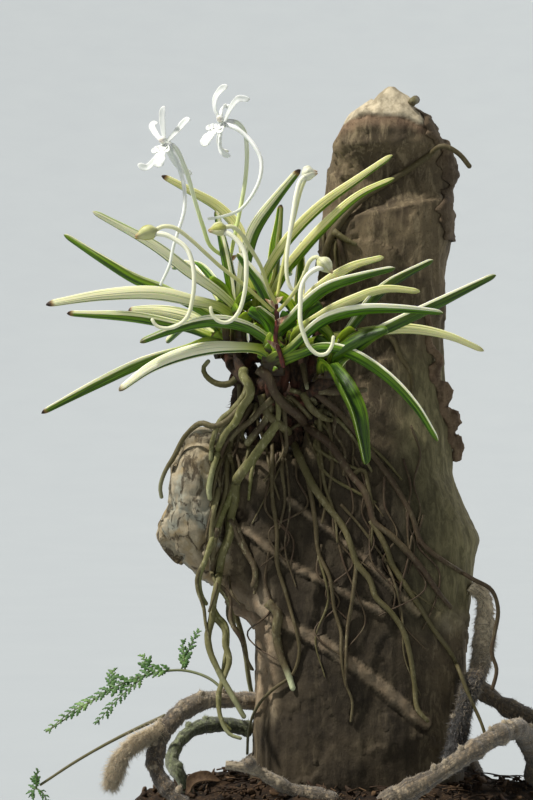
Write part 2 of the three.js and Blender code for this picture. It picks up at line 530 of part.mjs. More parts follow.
// Each flower: its stalk (pedicel), its spur, and either its tepals and lip or its closed head.
const BLOOMS = {
  bloom_left: {
    pedicel: [[-40.2, -6.5, 177.5], [-46, -9, 181.5], [-48.5, -12, 188], [-51, -15, 196], [-54, -18, 206],
      [-57.5, -19.5, 212.5], [-60.5, -20, 213]],
    spur: [[-60, -19.8, 213], [-58, -21.5, 211], [-55.5, -23, 205], [-54, -24, 199], [-54, -25, 192],
      [-56, -26, 185], [-57.5, -26, 180], [-58.5, -26, 175], [-61.5, -25, 168.5]],
    facing: [-0.35, -0.9, 0.1],
    tepals: [
      [[-60.2, -20, 213.2], [-60.7, -20, 218], [-60.9, -20.5, 222], [-60.3, -22, 224.8]],
      [[-60.3, -19.7, 213.1], [-63.2, -17, 216.8], [-64.2, -15.5, 219.2], [-62.9, -14, 220.6]],
      [[-60, -20, 213.1], [-56.2, -20, 217.3], [-53.6, -20.6, 220.2], [-52.2, -22, 220.6]],
      [[-60.4, -20, 212.7], [-63.5, -19, 208], [-65.9, -18.5, 205.8], [-68.8, -18.5, 206.8]],
      [[-60.2, -19.7, 212.7], [-57.6, -16, 208.5], [-54.6, -14.5, 205.5], [-51.8, -14.5, 204]],
    ],
    lip: [[-60.3, -21, 212.6], [-61, -24, 210.3], [-61.4, -26, 207.8], [-62.2, -27, 205.2]],
  },
  bloom_top: {
    pedicel: [[-39.8, -6, 178.5], [-37, -5.5, 192], [-35, -5, 203.5], [-34.6, -4.5, 213],
      [-35.6, -4.5, 219], [-38.5, -5, 221.5], [-42, -6, 220.5]],
    spur: [[-41.5, -6, 220.6], [-38, -8.5, 219], [-34.8, -9.5, 216.5], [-32, -11, 213], [-30, -12, 208.5],
      [-30.5, -13, 202.5], [-33.5, -13, 196.5], [-37, -13, 192.7], [-42.5, -13, 190.7], [-47, -13, 190]],
    facing: [-0.7, -0.65, -0.3],
    tepals: [
      [[-42.2, -6.2, 220.6], [-44.6, -6.5, 225.3], [-44.3, -7, 229.1], [-42, -8, 231.9],
        [-40.6, -9.5, 232.4]],
      [[-41.9, -6.2, 220.8], [-39.5, -7.5, 225.6], [-37, -9, 228.4], [-33.6, -11, 228]],
      [[-42.1, -6, 220.8], [-42.6, -4, 225], [-41.2, -2, 226.9], [-38.8, -0.5, 226.4]],
      [[-42.3, -6.1, 220.2], [-43, -6.5, 215], [-42.4, -7.5, 211.8], [-39.8, -9, 210.1]],
      [[-42.2, -6, 220.3], [-43.5, -0.5, 216], [-42.4, 3, 213.4], [-40.4, 4.4, 212.6]],
    ],
    lip: [[-42.6, -7, 220.2], [-45, -9.5, 217.9], [-46.9, -11, 215.5], [-48.3, -12, 213]],
  },
};

const BUDS = {
  bud_low_left: {
    pedicel: [[-26.5, -27.5, 160.5], [-32, -31, 165.5], [-36, -32, 169], [-42.5, -33.5, 174],
      [-47.5, -35, 178.5], [-52.5, -36, 183], [-57, -37, 186], [-60.5, -37, 186.2], [-63, -37, 184.8]],
    spur: [[-63, -37.6, 184], [-60, -38.5, 183.8], [-57, -39, 182.5], [-53, -40, 179.5], [-51, -41, 174.5],
      [-50.5, -41.5, 169.5], [-51, -41.5, 164], [-52.5, -41.5, 158.5], [-55, -41.5, 156],
      [-58.5, -41.5, 154.8], [-62, -41.5, 155.5], [-63.6, -41.5, 157.8]],
    head: [[-61.5, -37.2, 185.2], [-65.5, -37.6, 184.3], [-69.3, -38, 182.6]],
    radius: 2.5,
  },
  bud_middle: {
    pedicel: [[-25.3, -27.5, 163], [-27.5, -29.5, 167], [-30, -32, 174], [-33.5, -35, 180],
      [-36.5, -37, 184.5], [-39, -38, 186.2], [-42, -38, 185.8]],
    spur: [[-43, -38.6, 184.5], [-40.5, -39.3, 184.2], [-37.5, -40, 182], [-35, -41, 178],
      [-34.5, -42, 172.5], [-35, -42, 166], [-37, -42, 159.5], [-40, -42, 156.7], [-43, -42, 157],
      [-45, -42, 159], [-45.5, -42, 161.5]],
    head: [[-40.5, -38.2, 185.8], [-43.5, -38.6, 185.4], [-46.4, -39, 184.8]],
    radius: 2.4,
  },
  bud_tall: {
    pedicel: [[-25, -24.5, 165], [-23.8, -22, 172], [-22.5, -20.5, 178], [-19.5, -19.5, 191],
      [-17.5, -19.5, 199], [-15.5, -20.5, 203.5]],
    spur: [[-15.5, -22, 203], [-17.6, -23.5, 201.5], [-19, -25, 197], [-20, -26, 191], [-21, -27, 185],
      [-22, -28, 177.5], [-22, -28.5, 171.5], [-21, -28.5, 168], [-19.5, -28.5, 166.8],
      [-17.5, -28.5, 169.5], [-16.4, -28.5, 173]],
    head: [[-17.3, -21, 202.6], [-14.8, -21.5, 204], [-12.2, -22, 203.6]],
    radius: 2.5,
  },
  bud_right: {
    pedicel: [[-24.6, -28, 160.5], [-21, -31, 164.5], [-18.5, -34, 168], [-16.5, -36.5, 172],
      [-15, -38.5, 175.5], [-13, -39.5, 176.8], [-10.8, -39.6, 175]],
    spur: [[-10.5, -41, 173.5], [-13, -41.5, 173], [-15.8, -42.3, 171], [-17.6, -43, 167.5],
      [-18, -44, 162], [-18, -45, 157], [-17, -45, 153], [-15, -45, 148.7], [-12.5, -45, 146.7],
      [-10, -45, 147], [-8.3, -45, 149.5], [-7.8, -45, 152.5]],
    head: [[-12.6, -39.6, 176.4], [-10, -40, 174], [-8, -40.4, 171.4]],
    radius: 2.6,
  },
};

/** Narrow petal or sepal, widest past its middle, with a rounded tip. */
function tepal(path, facing, grow) {
  const stations = [0, 0.4, 0.85, 1];
  const widths = [0.5, 0.85, 1, 0.4];
  const outline = (t) => {
    const half = (TEPAL_WIDTH / 2) * widths[stations.indexOf(t)] + grow;
    return roundOutline(half, TEPAL_THICKNESS / 2 + grow, 4);
  };
  return sweep(path, stations, outline, { facing: point(facing) });
}

/** Tongue-like lip with a lobe at each side of its foot. */
function lip(path, facing, grow) {
  const stations = [0, 0.3, 0.55, 0.85, 1];
  const widths = [1.6, 4.6, 3, 3.2, 1.6];
  const outline = (t) => {
    const half = widths[stations.indexOf(t)] / 2 + grow;
    return roundOutline(half, TEPAL_THICKNESS / 2 + grow, 6);
  };
  return sweep(path, stations, outline, { facing: point(facing) });
}

const thread = (path, radius, grow) => tube(path, radius, radius, grow, { sides: 5, step: 6 });

function bloom({ pedicel, spur, facing, tepals, lip: tongue }, grow) {
  const throat = egg([pedicel.at(-2), pedicel.at(-1), tongue[0]], THROAT_RADIUS, grow);
  return union([
    thread(pedicel, PEDICEL_RADIUS, grow),
    thread(spur, SPUR_RADIUS, grow),
    throat,
    lip(tongue, facing, grow),
    ...tepals.map((path) => tepal(path, facing, grow)),
  ]);
}

function bud({ pedicel, spur, head, radius }, grow) {
  const stalk = thread(pedicel, PEDICEL_RADIUS, grow);
  return union([stalk, thread(spur, SPUR_RADIUS, grow), egg(head, radius, grow)]);
}

/** Flower stalk with a small pointed bract below each flower. */
function flowerStalk(path, grow) {
  const stalk = tube(path, STALK_RADIUS, STALK_RADIUS * 0.8, grow, { sides: 6, step: 5 });
  const curve = curveThrough(path);
  const bracts = [0.55, 0.84].map((t, i) => {
    const lean = new THREE.Vector3(i % 2 ? 1 : -1, -0.3, 1.1).setLength(BRACT_LENGTH);
    const path = [0, 0.5, 1].map((reach) => curve.getPointAt(t).addScaledVector(lean, reach).toArray());
    return tube(path, 0.9, 0.45, grow, { sides: 4, step: 3 });
  });
  return union([stalk, ...bracts]);
}

// ---------------------------------------------------------------- fern

// Each rhizome: radius at its foot and its tip, and its branches as paths.
const RHIZOMES = {
  rhizome_left_arch: [2.9, 2.6, [
    [[-31, 4, 36], [-41, 0, 37], [-48, -4, 37], [-55, -8, 34], [-60, -12, 29], [-62.5, -15, 23.5],
      [-63.5, -18, 18.5], [-61, -20, 13], [-56.5, -22, 8.5], [-52, -24, 6]],
    [[-60, -12, 29], [-65, -16, 27], [-68.5, -20, 25.5], [-73, -24, 22], [-75.5, -26, 17],
      [-77, -28, 12]]]],
  rhizome_left_green: [2.3, 2.1, [
    [[-33.5, 14, 26], [-43.5, 10, 28], [-51.5, 4, 27], [-56, 0, 23.5], [-58.5, -4, 18], [-55.5, -8, 13],
      [-52, -10, 7.5], [-48, -12, 5]]]],
  rhizome_front: [2, 2.4, [
    [[-41, -34, 20], [-36.5, -34, 19.5], [-32.5, -33, 18.5], [-27, -32, 15.5], [-20.5, -31, 12],
      [-12.5, -31, 10], [-5.5, -31, 7.5]],
    [[-32.5, -33, 18.5], [-34, -35, 22]]]],
  rhizome_right_front: [3, 3, [
    [[7, -34, 7.5], [11.5, -34, 10], [22.5, -36, 16], [32, -34, 22], [42, -28, 27.5], [50.5, -18, 29.5],
      [54.5, -8, 25], [57, 0, 19.5], [58, 8, 9]]]],
  rhizome_right_furry: [2.6, 3.2, [
    [[36.5, -8, 74], [40.5, -8, 70.5], [41, -8, 63], [40.5, -8.5, 55], [39, -11, 47.5], [36, -16, 42],
      [32, -22, 30], [30, -26, 17.5]]]],
  rhizome_right_rear: [2.6, 2.4, [
    [[40.5, 8, 39.5], [48, 6, 34.5], [53, 4, 32], [59, 0, 29], [64, -4, 18], [65, -4, 6]]]],
  rhizome_rear: [2.8, 2.5, [
    [[-38, 26, 8], [-30, 34, 15], [-16, 38.5, 18], [0, 38.5, 14], [14, 39, 11], [26, 37, 15], [36, 30, 16],
      [41, 22, 8]]]],
};

// The frond's main rib, then each side rib: its foot's share of the main rib, its tip and its lobe pairs.
const FROND_RIB = [[-40, 4, 35], [-42.5, 10, 39], [-46.5, 16, 42], [-52, 21, 43.8], [-58, 25, 44.2],
  [-67, 27, 42.6], [-78.5, 28, 38.2], [-92, 28, 29.5], [-101, 28, 23.5]];
const FROND_SIDE_RIBS = [
  [0.36, [-50.5, 29, 57.5], 3], [0.52, [-84.5, 22, 26.5], 3], [0.5, [-69.5, 32, 48.5], 2],
  [0.68, [-79, 33, 43.5], 2],
];
const FROND_FACING = new THREE.Vector3(-0.3, -0.8, 0.5);

function rhizome([from, to, branches], grow) {
  return union(branches.map((path) => tube(path, from, to, grow, { sides: 6, step: 7.5 })));
}

/** Blade along a rib, cut into lobes almost down to it, that grow smaller towards the tip. */
function lobedBlade(path, lobes, grow) {
  const stations = evenly(2 * lobes + 1);
  const outline = (t) => {
    const lobe = Math.round(t * (2 * lobes + 1)) % 2 === 1;
    const reach = (lobe ? LOBE_REACH : NOTCH_REACH) * (1 - 0.6 * t) + grow;
    return roundOutline(reach, FROND_THICKNESS / 2 + grow, 4);
  };
  return sweep(path, stations, outline, { facing: FROND_FACING });
}

function fernFrond(grow) {
  const main = curveThrough(FROND_RIB);
  const outer = FROND_RIB.slice(-3);
  const rib = tube(FROND_RIB, RIB_RADIUS, RIB_TIP_RADIUS, grow, { sides: 5, step: 7 });
  const solids = [rib, lobedBlade(outer, 3, grow)];
  for (const [share, tip, lobes] of FROND_SIDE_RIBS) {
    const foot = main.getPointAt(share);
    const middle = foot.clone().lerp(point(tip), 0.5).add(new THREE.Vector3(0, 0, 1));
    solids.push(lobedBlade([foot.toArray(), middle.toArray(), tip], lobes, grow));
  }
  return union(solids);
}

// ---------------------------------------------------------------- peat

/** Low mound of peat and leaf litter with a flat underside and a bumpy top. */
function peatMound() {
  const ring = (share, height) => Array.from({ length: PEAT_SIDES }, (_, i) => {
    const angle = (i / PEAT_SIDES) * 2 * Math.PI;
    const edge = 1 + 0.05 * Math.sin(3 * angle + 1) + 0.04 * Math.sin(7 * angle);
    const x = PEAT_CENTRE[0] + PEAT_REACH[0] * share * edge * Math.cos(angle);
    const y = PEAT_CENTRE[1] + PEAT_REACH[1] * share * edge * Math.sin(angle);
    const bump = height > PEAT_EDGE ? 1.6 * Math.sin(x / 4.3 + 2) * Math.sin(y / 3.7) : 0;
    return new THREE.Vector3(x, y, Math.max(0, height + bump));
  });
  const slope = (share) => PEAT_EDGE + (PEAT_HEIGHT - PEAT_EDGE) * Math.sqrt(1 - share * share);
  const shares = [0.94, 0.8, 0.6];
  return skin([ring(1, 0), ring(1, PEAT_EDGE), ...shares.map((share) => ring(share, slope(share)))]);
}

// ---------------------------------------------------------------- assembly

// In order of precedence: each piece is cut clear of all those before it.
const PIECES = [
  { name: 'rock', material: STONE_BUFF, solid: rock },
  ...Object.entries(ROOT_BUNCHES).map(([name, bunch]) =>
    ({ name, material: ROOT_GREY, solid: (grow) => rootBunch(bunch, grow) })),
  ...Object.entries(LEAF_FANS).map(([name, fan]) =>
    ({ name, material: fan.colour, solid: (grow) => leafFan(fan, grow) })),
  ...Object.entries(FLOWER_STALKS).map(([name, path]) =>
    ({ name, material: STALK_RED, solid: (grow) => flowerStalk(path, grow) })),
  ...Object.entries(BLOOMS).map(([name, parts]) =>
    ({ name, material: WHITE_PETAL, solid: (grow) => bloom(parts, grow) })),
  ...Object.entries(BUDS).map(([name, parts]) =>
    ({ name, material: PALE_BUD, solid: (grow) => bud(parts, grow) })),
  ...Object.entries(RHIZOMES).map(([name, branches]) =>
    ({ name, material: FUR_TAN, solid: (grow) => rhizome(branches, grow) })),
  { name: 'fern_frond', material: FROND_GREEN, solid: fernFrond },
  { name: 'peat_mound', material: PEAT_BROWN, solid: peatMound },
];

/** Signed volume under the triangles of an indexed mesh. */
function volumeOf(vertices, triangles) {
  const [a, b, c] = [new THREE.Vector3(), new THREE.Vector3(), new THREE.Vector3()];
  let volume = 0;
  for (let k = 0; k < triangles.length; k += 3) {
    [a, b, c].forEach((corner, i) => corner.fromArray(vertices, 3 * triangles[k + i]));
    volume += a.dot(b.cross(c)) / 6;
  }
  return volume;
}

/** Outer skin of a solid's main body: sealed hollows are filled, scraps dropped, a severed part refused. */
function mainBody(name, solid) {
  const { vertProperties, triVerts } = solid.getMesh();
  const parent = Array.from({ length: vertProperties.length / 3 }, (_, i) => i);
  const rootOf = (i) => {
    while (parent[i] !== i) i = parent[i] = parent[parent[i]];
    return i;
  };
  for (let k = 0; k < triVerts.length; k += 3) {
    parent[rootOf(triVerts[k + 1])] = rootOf(triVerts[k]);
    parent[rootOf(triVerts[k + 2])] = rootOf(triVerts[k]);
  }
  const shells = new Map();
  for (let k = 0; k < triVerts.length; k += 3) {
    const root = rootOf(triVerts[k]);
    if (!shells.has(root)) shells.set(root, []);
    shells.get(root).push(...triVerts.slice(k, k + 3));
  }
  const measured = (triangles) => ({ triangles, volume: volumeOf(vertProperties, triangles) });
  const sizes = [...shells.values()].map(measured).sort((one, other) => other.volume - one.volume);
  if (sizes.length > 1 && sizes[1].volume > CRUMB) throw new Error(`a cut severs ${name}`);
  return geometryOf(vertProperties, sizes[0].triangles);
}

const group = new THREE.Group();
let taken = null;
for (const { name, material, solid } of PIECES) {
  const whole = solid(0);
  const clear = taken ? whole.subtract(taken) : whole;
  const grown = solid(GAP);
  taken = taken ? taken.add(grown) : grown;
  const body = mainBody(name, clear.setTolerance(FACET_TOLERANCE));
  const mesh = new THREE.Mesh(body, new THREE.MeshStandardMaterial(material));
  mesh.name = name;
  group.add(mesh);
}

export default group;
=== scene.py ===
"""Looks of the wind orchid on its rock. Tables are in millimetres, +Z up, in the CAD's frame."""

import math

import bpy
import numpy as np
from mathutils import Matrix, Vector, noise
from mathutils.bvhtree import BVHTree


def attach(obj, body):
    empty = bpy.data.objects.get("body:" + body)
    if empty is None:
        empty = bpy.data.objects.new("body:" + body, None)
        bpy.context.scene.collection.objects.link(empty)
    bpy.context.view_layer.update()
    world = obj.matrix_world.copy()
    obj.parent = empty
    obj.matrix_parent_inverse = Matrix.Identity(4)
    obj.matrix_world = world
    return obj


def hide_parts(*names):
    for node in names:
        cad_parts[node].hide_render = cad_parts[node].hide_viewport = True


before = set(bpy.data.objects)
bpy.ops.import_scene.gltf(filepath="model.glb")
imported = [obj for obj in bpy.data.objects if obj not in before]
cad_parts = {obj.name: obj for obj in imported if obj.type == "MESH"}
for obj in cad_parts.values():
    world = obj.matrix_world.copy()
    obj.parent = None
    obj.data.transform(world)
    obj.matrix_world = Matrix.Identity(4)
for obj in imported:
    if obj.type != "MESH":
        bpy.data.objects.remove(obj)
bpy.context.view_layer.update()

MM = 0.001
rng = np.random.default_rng(27)
noise.seed_set(11)  # decides how the stone's plates tilt

# ---------------------------------------------------------------- camera

CAMERA_PLACE = (-28.32, -1000, 132.8)
FRAME_HEIGHT = 256  # what the picture's height spans at the rock's middle
SENSOR = 36


def placed(name, data):
    """New object in the scene."""
    made = bpy.data.objects.new(name, data)
    bpy.context.scene.collection.objects.link(made)
    return made


camera = placed("camera", bpy.data.cameras.new("camera"))
camera.location = Vector(CAMERA_PLACE) * MM
camera.rotation_euler = (math.pi / 2, 0, 0)
camera.data.sensor_width = SENSOR
camera.data.lens = SENSOR * -CAMERA_PLACE[1] / FRAME_HEIGHT
bpy.context.scene.camera = camera

# ---------------------------------------------------------------- routes, as in the CAD

ROCK_HEIGHT = 233.3
ROCK_SQUARENESS = 2.7
FLUTE_DEPTH = 0.8
LEDGE_DEPTH = 1.3
LEDGE_PITCH = 23
INSIDE_FACE = 2  # y that lies behind the rock's face everywhere
OUTSIDE = 200  # further out than the rock reaches, to the front or the back

# The column's extent at each height: z, left, right, front, back.
COLUMN = [
    (0, -34.5, 36, -24, 34), (20, -33.5, 35.5, -24, 34), (50, -32, 36.5, -22, 32), (66, -33, 37, -21, 31),
    (80, -32, 39, -20, 31), (88, -31, 40.2, -19, 31), (96.5, -29, 36.4, -18, 30), (109, -25, 32, -15, 29),
    (125, -18, 31, -11, 28), (139, -14.8, 29.4, -9.5, 26), (152, -13, 28.8, -8, 25),
    (178, -12, 30, -7.5, 24),
    (190, -11.2, 32, -7, 23), (194.4, -10.4, 31.3, -6.4, 23), (195.8, -10.2, 31.4, -3, 22.6),
    (199, -10, 31.8, -2.3, 22),
    (204.5, -9, 33.2, -1.5, 22), (211, -7.6, 31, -2, 21), (214.5, -6.8, 29.8, -5.6, 21),
    (219.5, -4.6, 27, -6.4, 19), (223.5, -2.6, 24.4, -5, 17), (226.6, 0.2, 20.6, -3, 14),
    (230.4, 6.6, 15.6, -0.5, 10), (ROCK_HEIGHT, 8.6, 12.6, 1.5, 6),
]

# The lobe that juts out to the left: x, top, bottom, front, back.
LOBE = [
    (-61.4, 98.5, 89, -5, 8), (-59.2, 106, 85.4, -10, 12), (-56.6, 113.6, 82.6, -13, 14),
    (-53.4, 120, 80.6, -15, 16), (-49.6, 122.4, 76.5, -16, 17), (-45.1, 121.3, 73, -14, 18),
    (-40, 119.4, 68.8, -10.5, 18), (-33.6, 119.7, 61.4, -12, 18), (-27.8, 118, 54, -15, 18),
    (-20.8, 117, 52, -16, 18), (-5, 112, 58, -6, 16),
]

# Slanting ribs on the face, as x, z.
RIBS = [
    [(-40, 73.5), (-30.5, 67), (-18.5, 60.5), (-8, 55), (1, 48.5), (8.5, 42.5), (16.5, 35.5), (21.5, 31.5)],
    [(-35.5, 92), (-21.5, 81.5), (-6, 73.5), (8, 66)],
    [(-21.5, 101.5), (-10.5, 93.5), (2, 83), (9.5, 76), (19, 66)],
]
RIB_HALF_WIDTHS = (1.9, 1.1, 1.0)
RIB_HEIGHT = 1.5

# Lower edge of the pale cap, a knobbly fold of the stone and the flaking crust above it, as x, z.
CAP_EDGE = [(-12, 218), (-6, 219.5), (-2, 222), (2, 223.7), (10, 224), (16, 223), (20, 221), (26, 220),
            (34, 218)]
FOLD = [(22, 163), (23.5, 156), (23.5, 150), (26.5, 146), (25, 140), (28.5, 136), (27.5, 130), (31, 127),
        (30.5, 121), (33, 118), (32, 113)]
CRUST_TOP = 226
CRUST_DROP = 42

# Each bunch: the crown's stem base that the roots grow from, then each root's radius and path, [x, y, z] in
# the air and [x, z] on the rock.
ROOT_BUNCHES = {
    "roots_left": {
        "crown_radius": 1.8,
        "crown": [[(-41.2, -2, 147.5), (-38.5, -8, 142.5), (-34, -14, 138), (-32, -15, 135)],
                  [(-38, -9.5, 149.5), (-37, -11, 144), (-34, -14, 138)]],
        "roots": [
            (1.5, [(-35.5, -12, 142), (-35.5, -17, 140), (-33.5, -20, 137), (-33.5, -20, 134),
                   (-36, -19, 130.5), (-38, -18, 126), (-41, -17, 123), (-43, -16, 119), (-44, 115),
                   (-45.5, 110), (-46.5, 104), (-46, 101)]),
            (1.3, [(-34, -14, 138), (-35, -16, 134.5), (-39, -17, 129.5), (-43, -17, 126), (-45, -17, 121),
                   (-46, 113.5)]),
            (1.1, [(-36, -18, 131), (-41, -18, 126), (-45, -17, 124.5), (-49, -14, 125.5),
                   (-54, -12, 121.5), (-57.5, -11, 115), (-60.5, -10, 110), (-62, -9, 105),
                   (-61.5, -9, 101.5)]),
            (1.2, [(-37, -9, 141), (-40, -9, 138), (-44, -10, 138), (-47.5, -10, 140.5), (-48.3, -10, 143),
                   (-46.3, -10, 145.5)]),
        ],
    },
    "roots_front": {
        "crown": [[(-26, -20, 141), (-26.5, -18, 136), (-26, -16, 131)],
                  [(-30, -1, 150), (-28, -8, 142), (-26.5, -15, 135)],
                  [(-24, -17, 149), (-23, -16, 142), (-23.5, -15, 135)],
                  [(-20.5, -12, 150), (-20, -13, 143), (-19, -15, 136)]],
        "roots": [
            (1.2, [(-26.5, -18, 133), (-29.5, -19, 130.5), (-33, -19, 126.5), (-37, -17, 123.5),
                   (-40, -15, 120)]),
            (1.6, [(-31, -21, 142.5), (-27.5, -23, 139.5), (-26.5, -23, 136.5), (-23.5, -20, 132),
                   (-18.5, -16, 128), (-14.5, 123.5), (-8.5, 119), (-5.5, 115), (-1.5, 109), (2.5, 104),
                   (4.2, 99), (5.5, 94.5), (10.5, 90.5), (16.5, 84.5), (21.5, 78.5), (25.5, 72.5),
                   (30, 67)]),
            (1.4, [(-30, -17, 134.5), (-28, -17, 128.5), (-23.5, -17, 124.5), (-20.5, 121), (-18.5, 116),
                   (-16, 110.5), (-13.5, 105.5), (-10, 100.5), (-4, 92.5), (-1.5, 86), (0, 81.5), (4, 76.5),
                   (6, 71), (10.5, 66.5), (14.5, 60.5), (16.5, 53.5), (18, 44), (19, 36), (22.5, 32)]),
            (1.4, [(-24.5, -18, 126), (-30, -18, 118.5), (-35, -17, 111), (-38, 106), (-40, 101.5),
                   (-42, 97.5), (-44, 92.5), (-46, -16, 87.5), (-47.5, -15, 82.5), (-49.5, -14, 77),
                   (-49, -14, 71.5), (-47, -14, 68)]),
            (1.6, [(-33.5, -17.3, 113.5), (-36.5, -16.5, 109.5), (-38.2, 105), (-38.3, 101), (-39.5, 97),
                   (-40, 90), (-42, 85), (-43, 80), (-43.7, -15, 75), (-45, -15, 69), (-45.5, -15, 64),
                   (-46.8, -16, 58.5), (-46, -17, 53.5), (-44, -18, 49), (-42, -19, 45), (-39, -20, 40),
                   (-36.5, -21, 35.5), (-35, -21, 33)]),
            (1.2, [(-44, 92.5), (-45.2, 86), (-45.5, 80), (-44, -15, 75)]),
            (1.1, [(-45.5, -15, 65), (-41.5, -15, 60.5), (-41.3, -16, 56), (-40, -17, 51), (-41.5, -18, 46),
                   (-43.5, -20, 40), (-42.5, -22, 33), (-40, -23, 28.5), (-36, -24, 27)]),
            (1.7, [(-28, 69), (-24.8, 65.6), (-25.3, 60), (-24.2, 53.5), (-21.6, 47), (-19.8, 41.6)]),
            (0.8, [(-26.5, -17, 131), (-26.5, 118), (-26.5, 103), (-25, 91), (-25, 81.5), (-22.5, 73),
                   (-20.5, 66), (-18.5, 58.5), (-18, 54), (-20, 47), (-27, 41), (-31.5, 35), (-34, 27),
                   (-34.5, 19)]),
            (0.8, [(-16, 110.5), (-14.5, 104), (-13, 94.5), (-12, 85), (-8.5, 77), (-7, 67), (-5, 60),
                   (-5, 53.5), (-3.5, 44), (-1.5, 38.5), (-2, 32)]),
            (1.0, [(4.5, 95), (9, 87), (11, 81.5), (14, 76.5), (19, 69), (24, 61), (29.5, 53.5),
                   (32.5, -19, 47), (35, -20, 40.5), (39, -21, 31.5), (41, -22, 25)]),
        ],
    },
    "roots_right": {
        "crown": [[(-7.5, -23, 140.5), (-12, -20, 137), (-17, -17, 134)],
                  [(-17.5, -12, 147.5), (-17, -15, 140), (-17, -17, 134)]],
        "roots": [
            (1.3, [(-17, -19, 135), (-14.5, -18, 130.5), (-11, -15, 127.5), (-5, 126)]),
            (1.1, [(-13, -19, 135), (-8, -17, 131), (-2, 125), (4.5, 116.5), (8.5, 111), (13, 104.5),
                   (17.5, 96), (20, 88.5), (24, 84.5), (30, 80.5), (36.5, -16, 76.5), (42.5, -17, 73),
                   (44.5, -17, 67), (43.5, -18, 60), (42.5, -18, 53.5), (44, -18, 48), (42.5, -18, 41.5)]),
            (1.5, [(-12, -20, 136), (-7, -19, 135.5), (-2, -17, 135.8), (3.5, -15, 136)]),
            (1.2, [(-17, -16, 144), (-16.5, -18, 141.5), (-16, -20, 138.5), (-15.5, -21, 136)]),
        ],
    },
    "roots_climbing": {
        "crown": [[(-13, -9.5, 148), (-12, -11, 153), (-11.5, -11, 160)]],
        "roots": [
            (1.5, [(-12, -11, 158), (-11, 166), (-9.3, 180), (-6.5, 187), (1, 196), (12, 203.3), (18, 207),
                   (23, 210.5), (28, -7, 213.5), (32.8, -7, 211), (36.6, -7, 206.5)]),
            (1.2, [(-7, 186.5), (-3.5, 184), (0.5, 182)]),
            (1.3, [(-11.5, -10, 162), (-6, 166), (-3.5, 172), (-4.5, 180), (-6, 187)]),
            (1.3, [(-13, -10, 151), (-4, 151), (4.5, 153), (11, 152.5), (14.5, 146), (17.5, 141),
                   (18, 134)]),
        ],
    },
    "roots_back": {
        "crown": [[(-37.5, 3, 148), (-33, 2, 143), (-30, 1, 138)]],
        "back": True,
        "roots": [
            (1.4, [(-31, 2, 140), (-36, 8, 131), (-42, 16, 124), (-46, 21, 116), (-47, 104), (-45, 92),
                   (-42, 23, 80), (-40, 24, 68), (-36, 27, 54), (-34, 30, 40), (-31, 34, 25)]),
            (1.5, [(-31, 2, 141), (-27, 9, 132), (-22, 20, 124), (-16, 27, 116), (-8, 104), (-2, 92),
                   (4, 78), (7, 62), (14, 48), (17, 34)]),
            (1.0, [(-26, 11, 131), (-17, 22, 131), (-5, 130), (6, 123), (15, 110), (22, 96), (25, 80)]),
            (1.1, [(-30, 2, 139), (-31, 12, 128), (-32, 21, 119), (-30, 106), (-24, 94), (-22, 78),
                   (-16, 64), (-14, 50)]),
        ],
    },
}

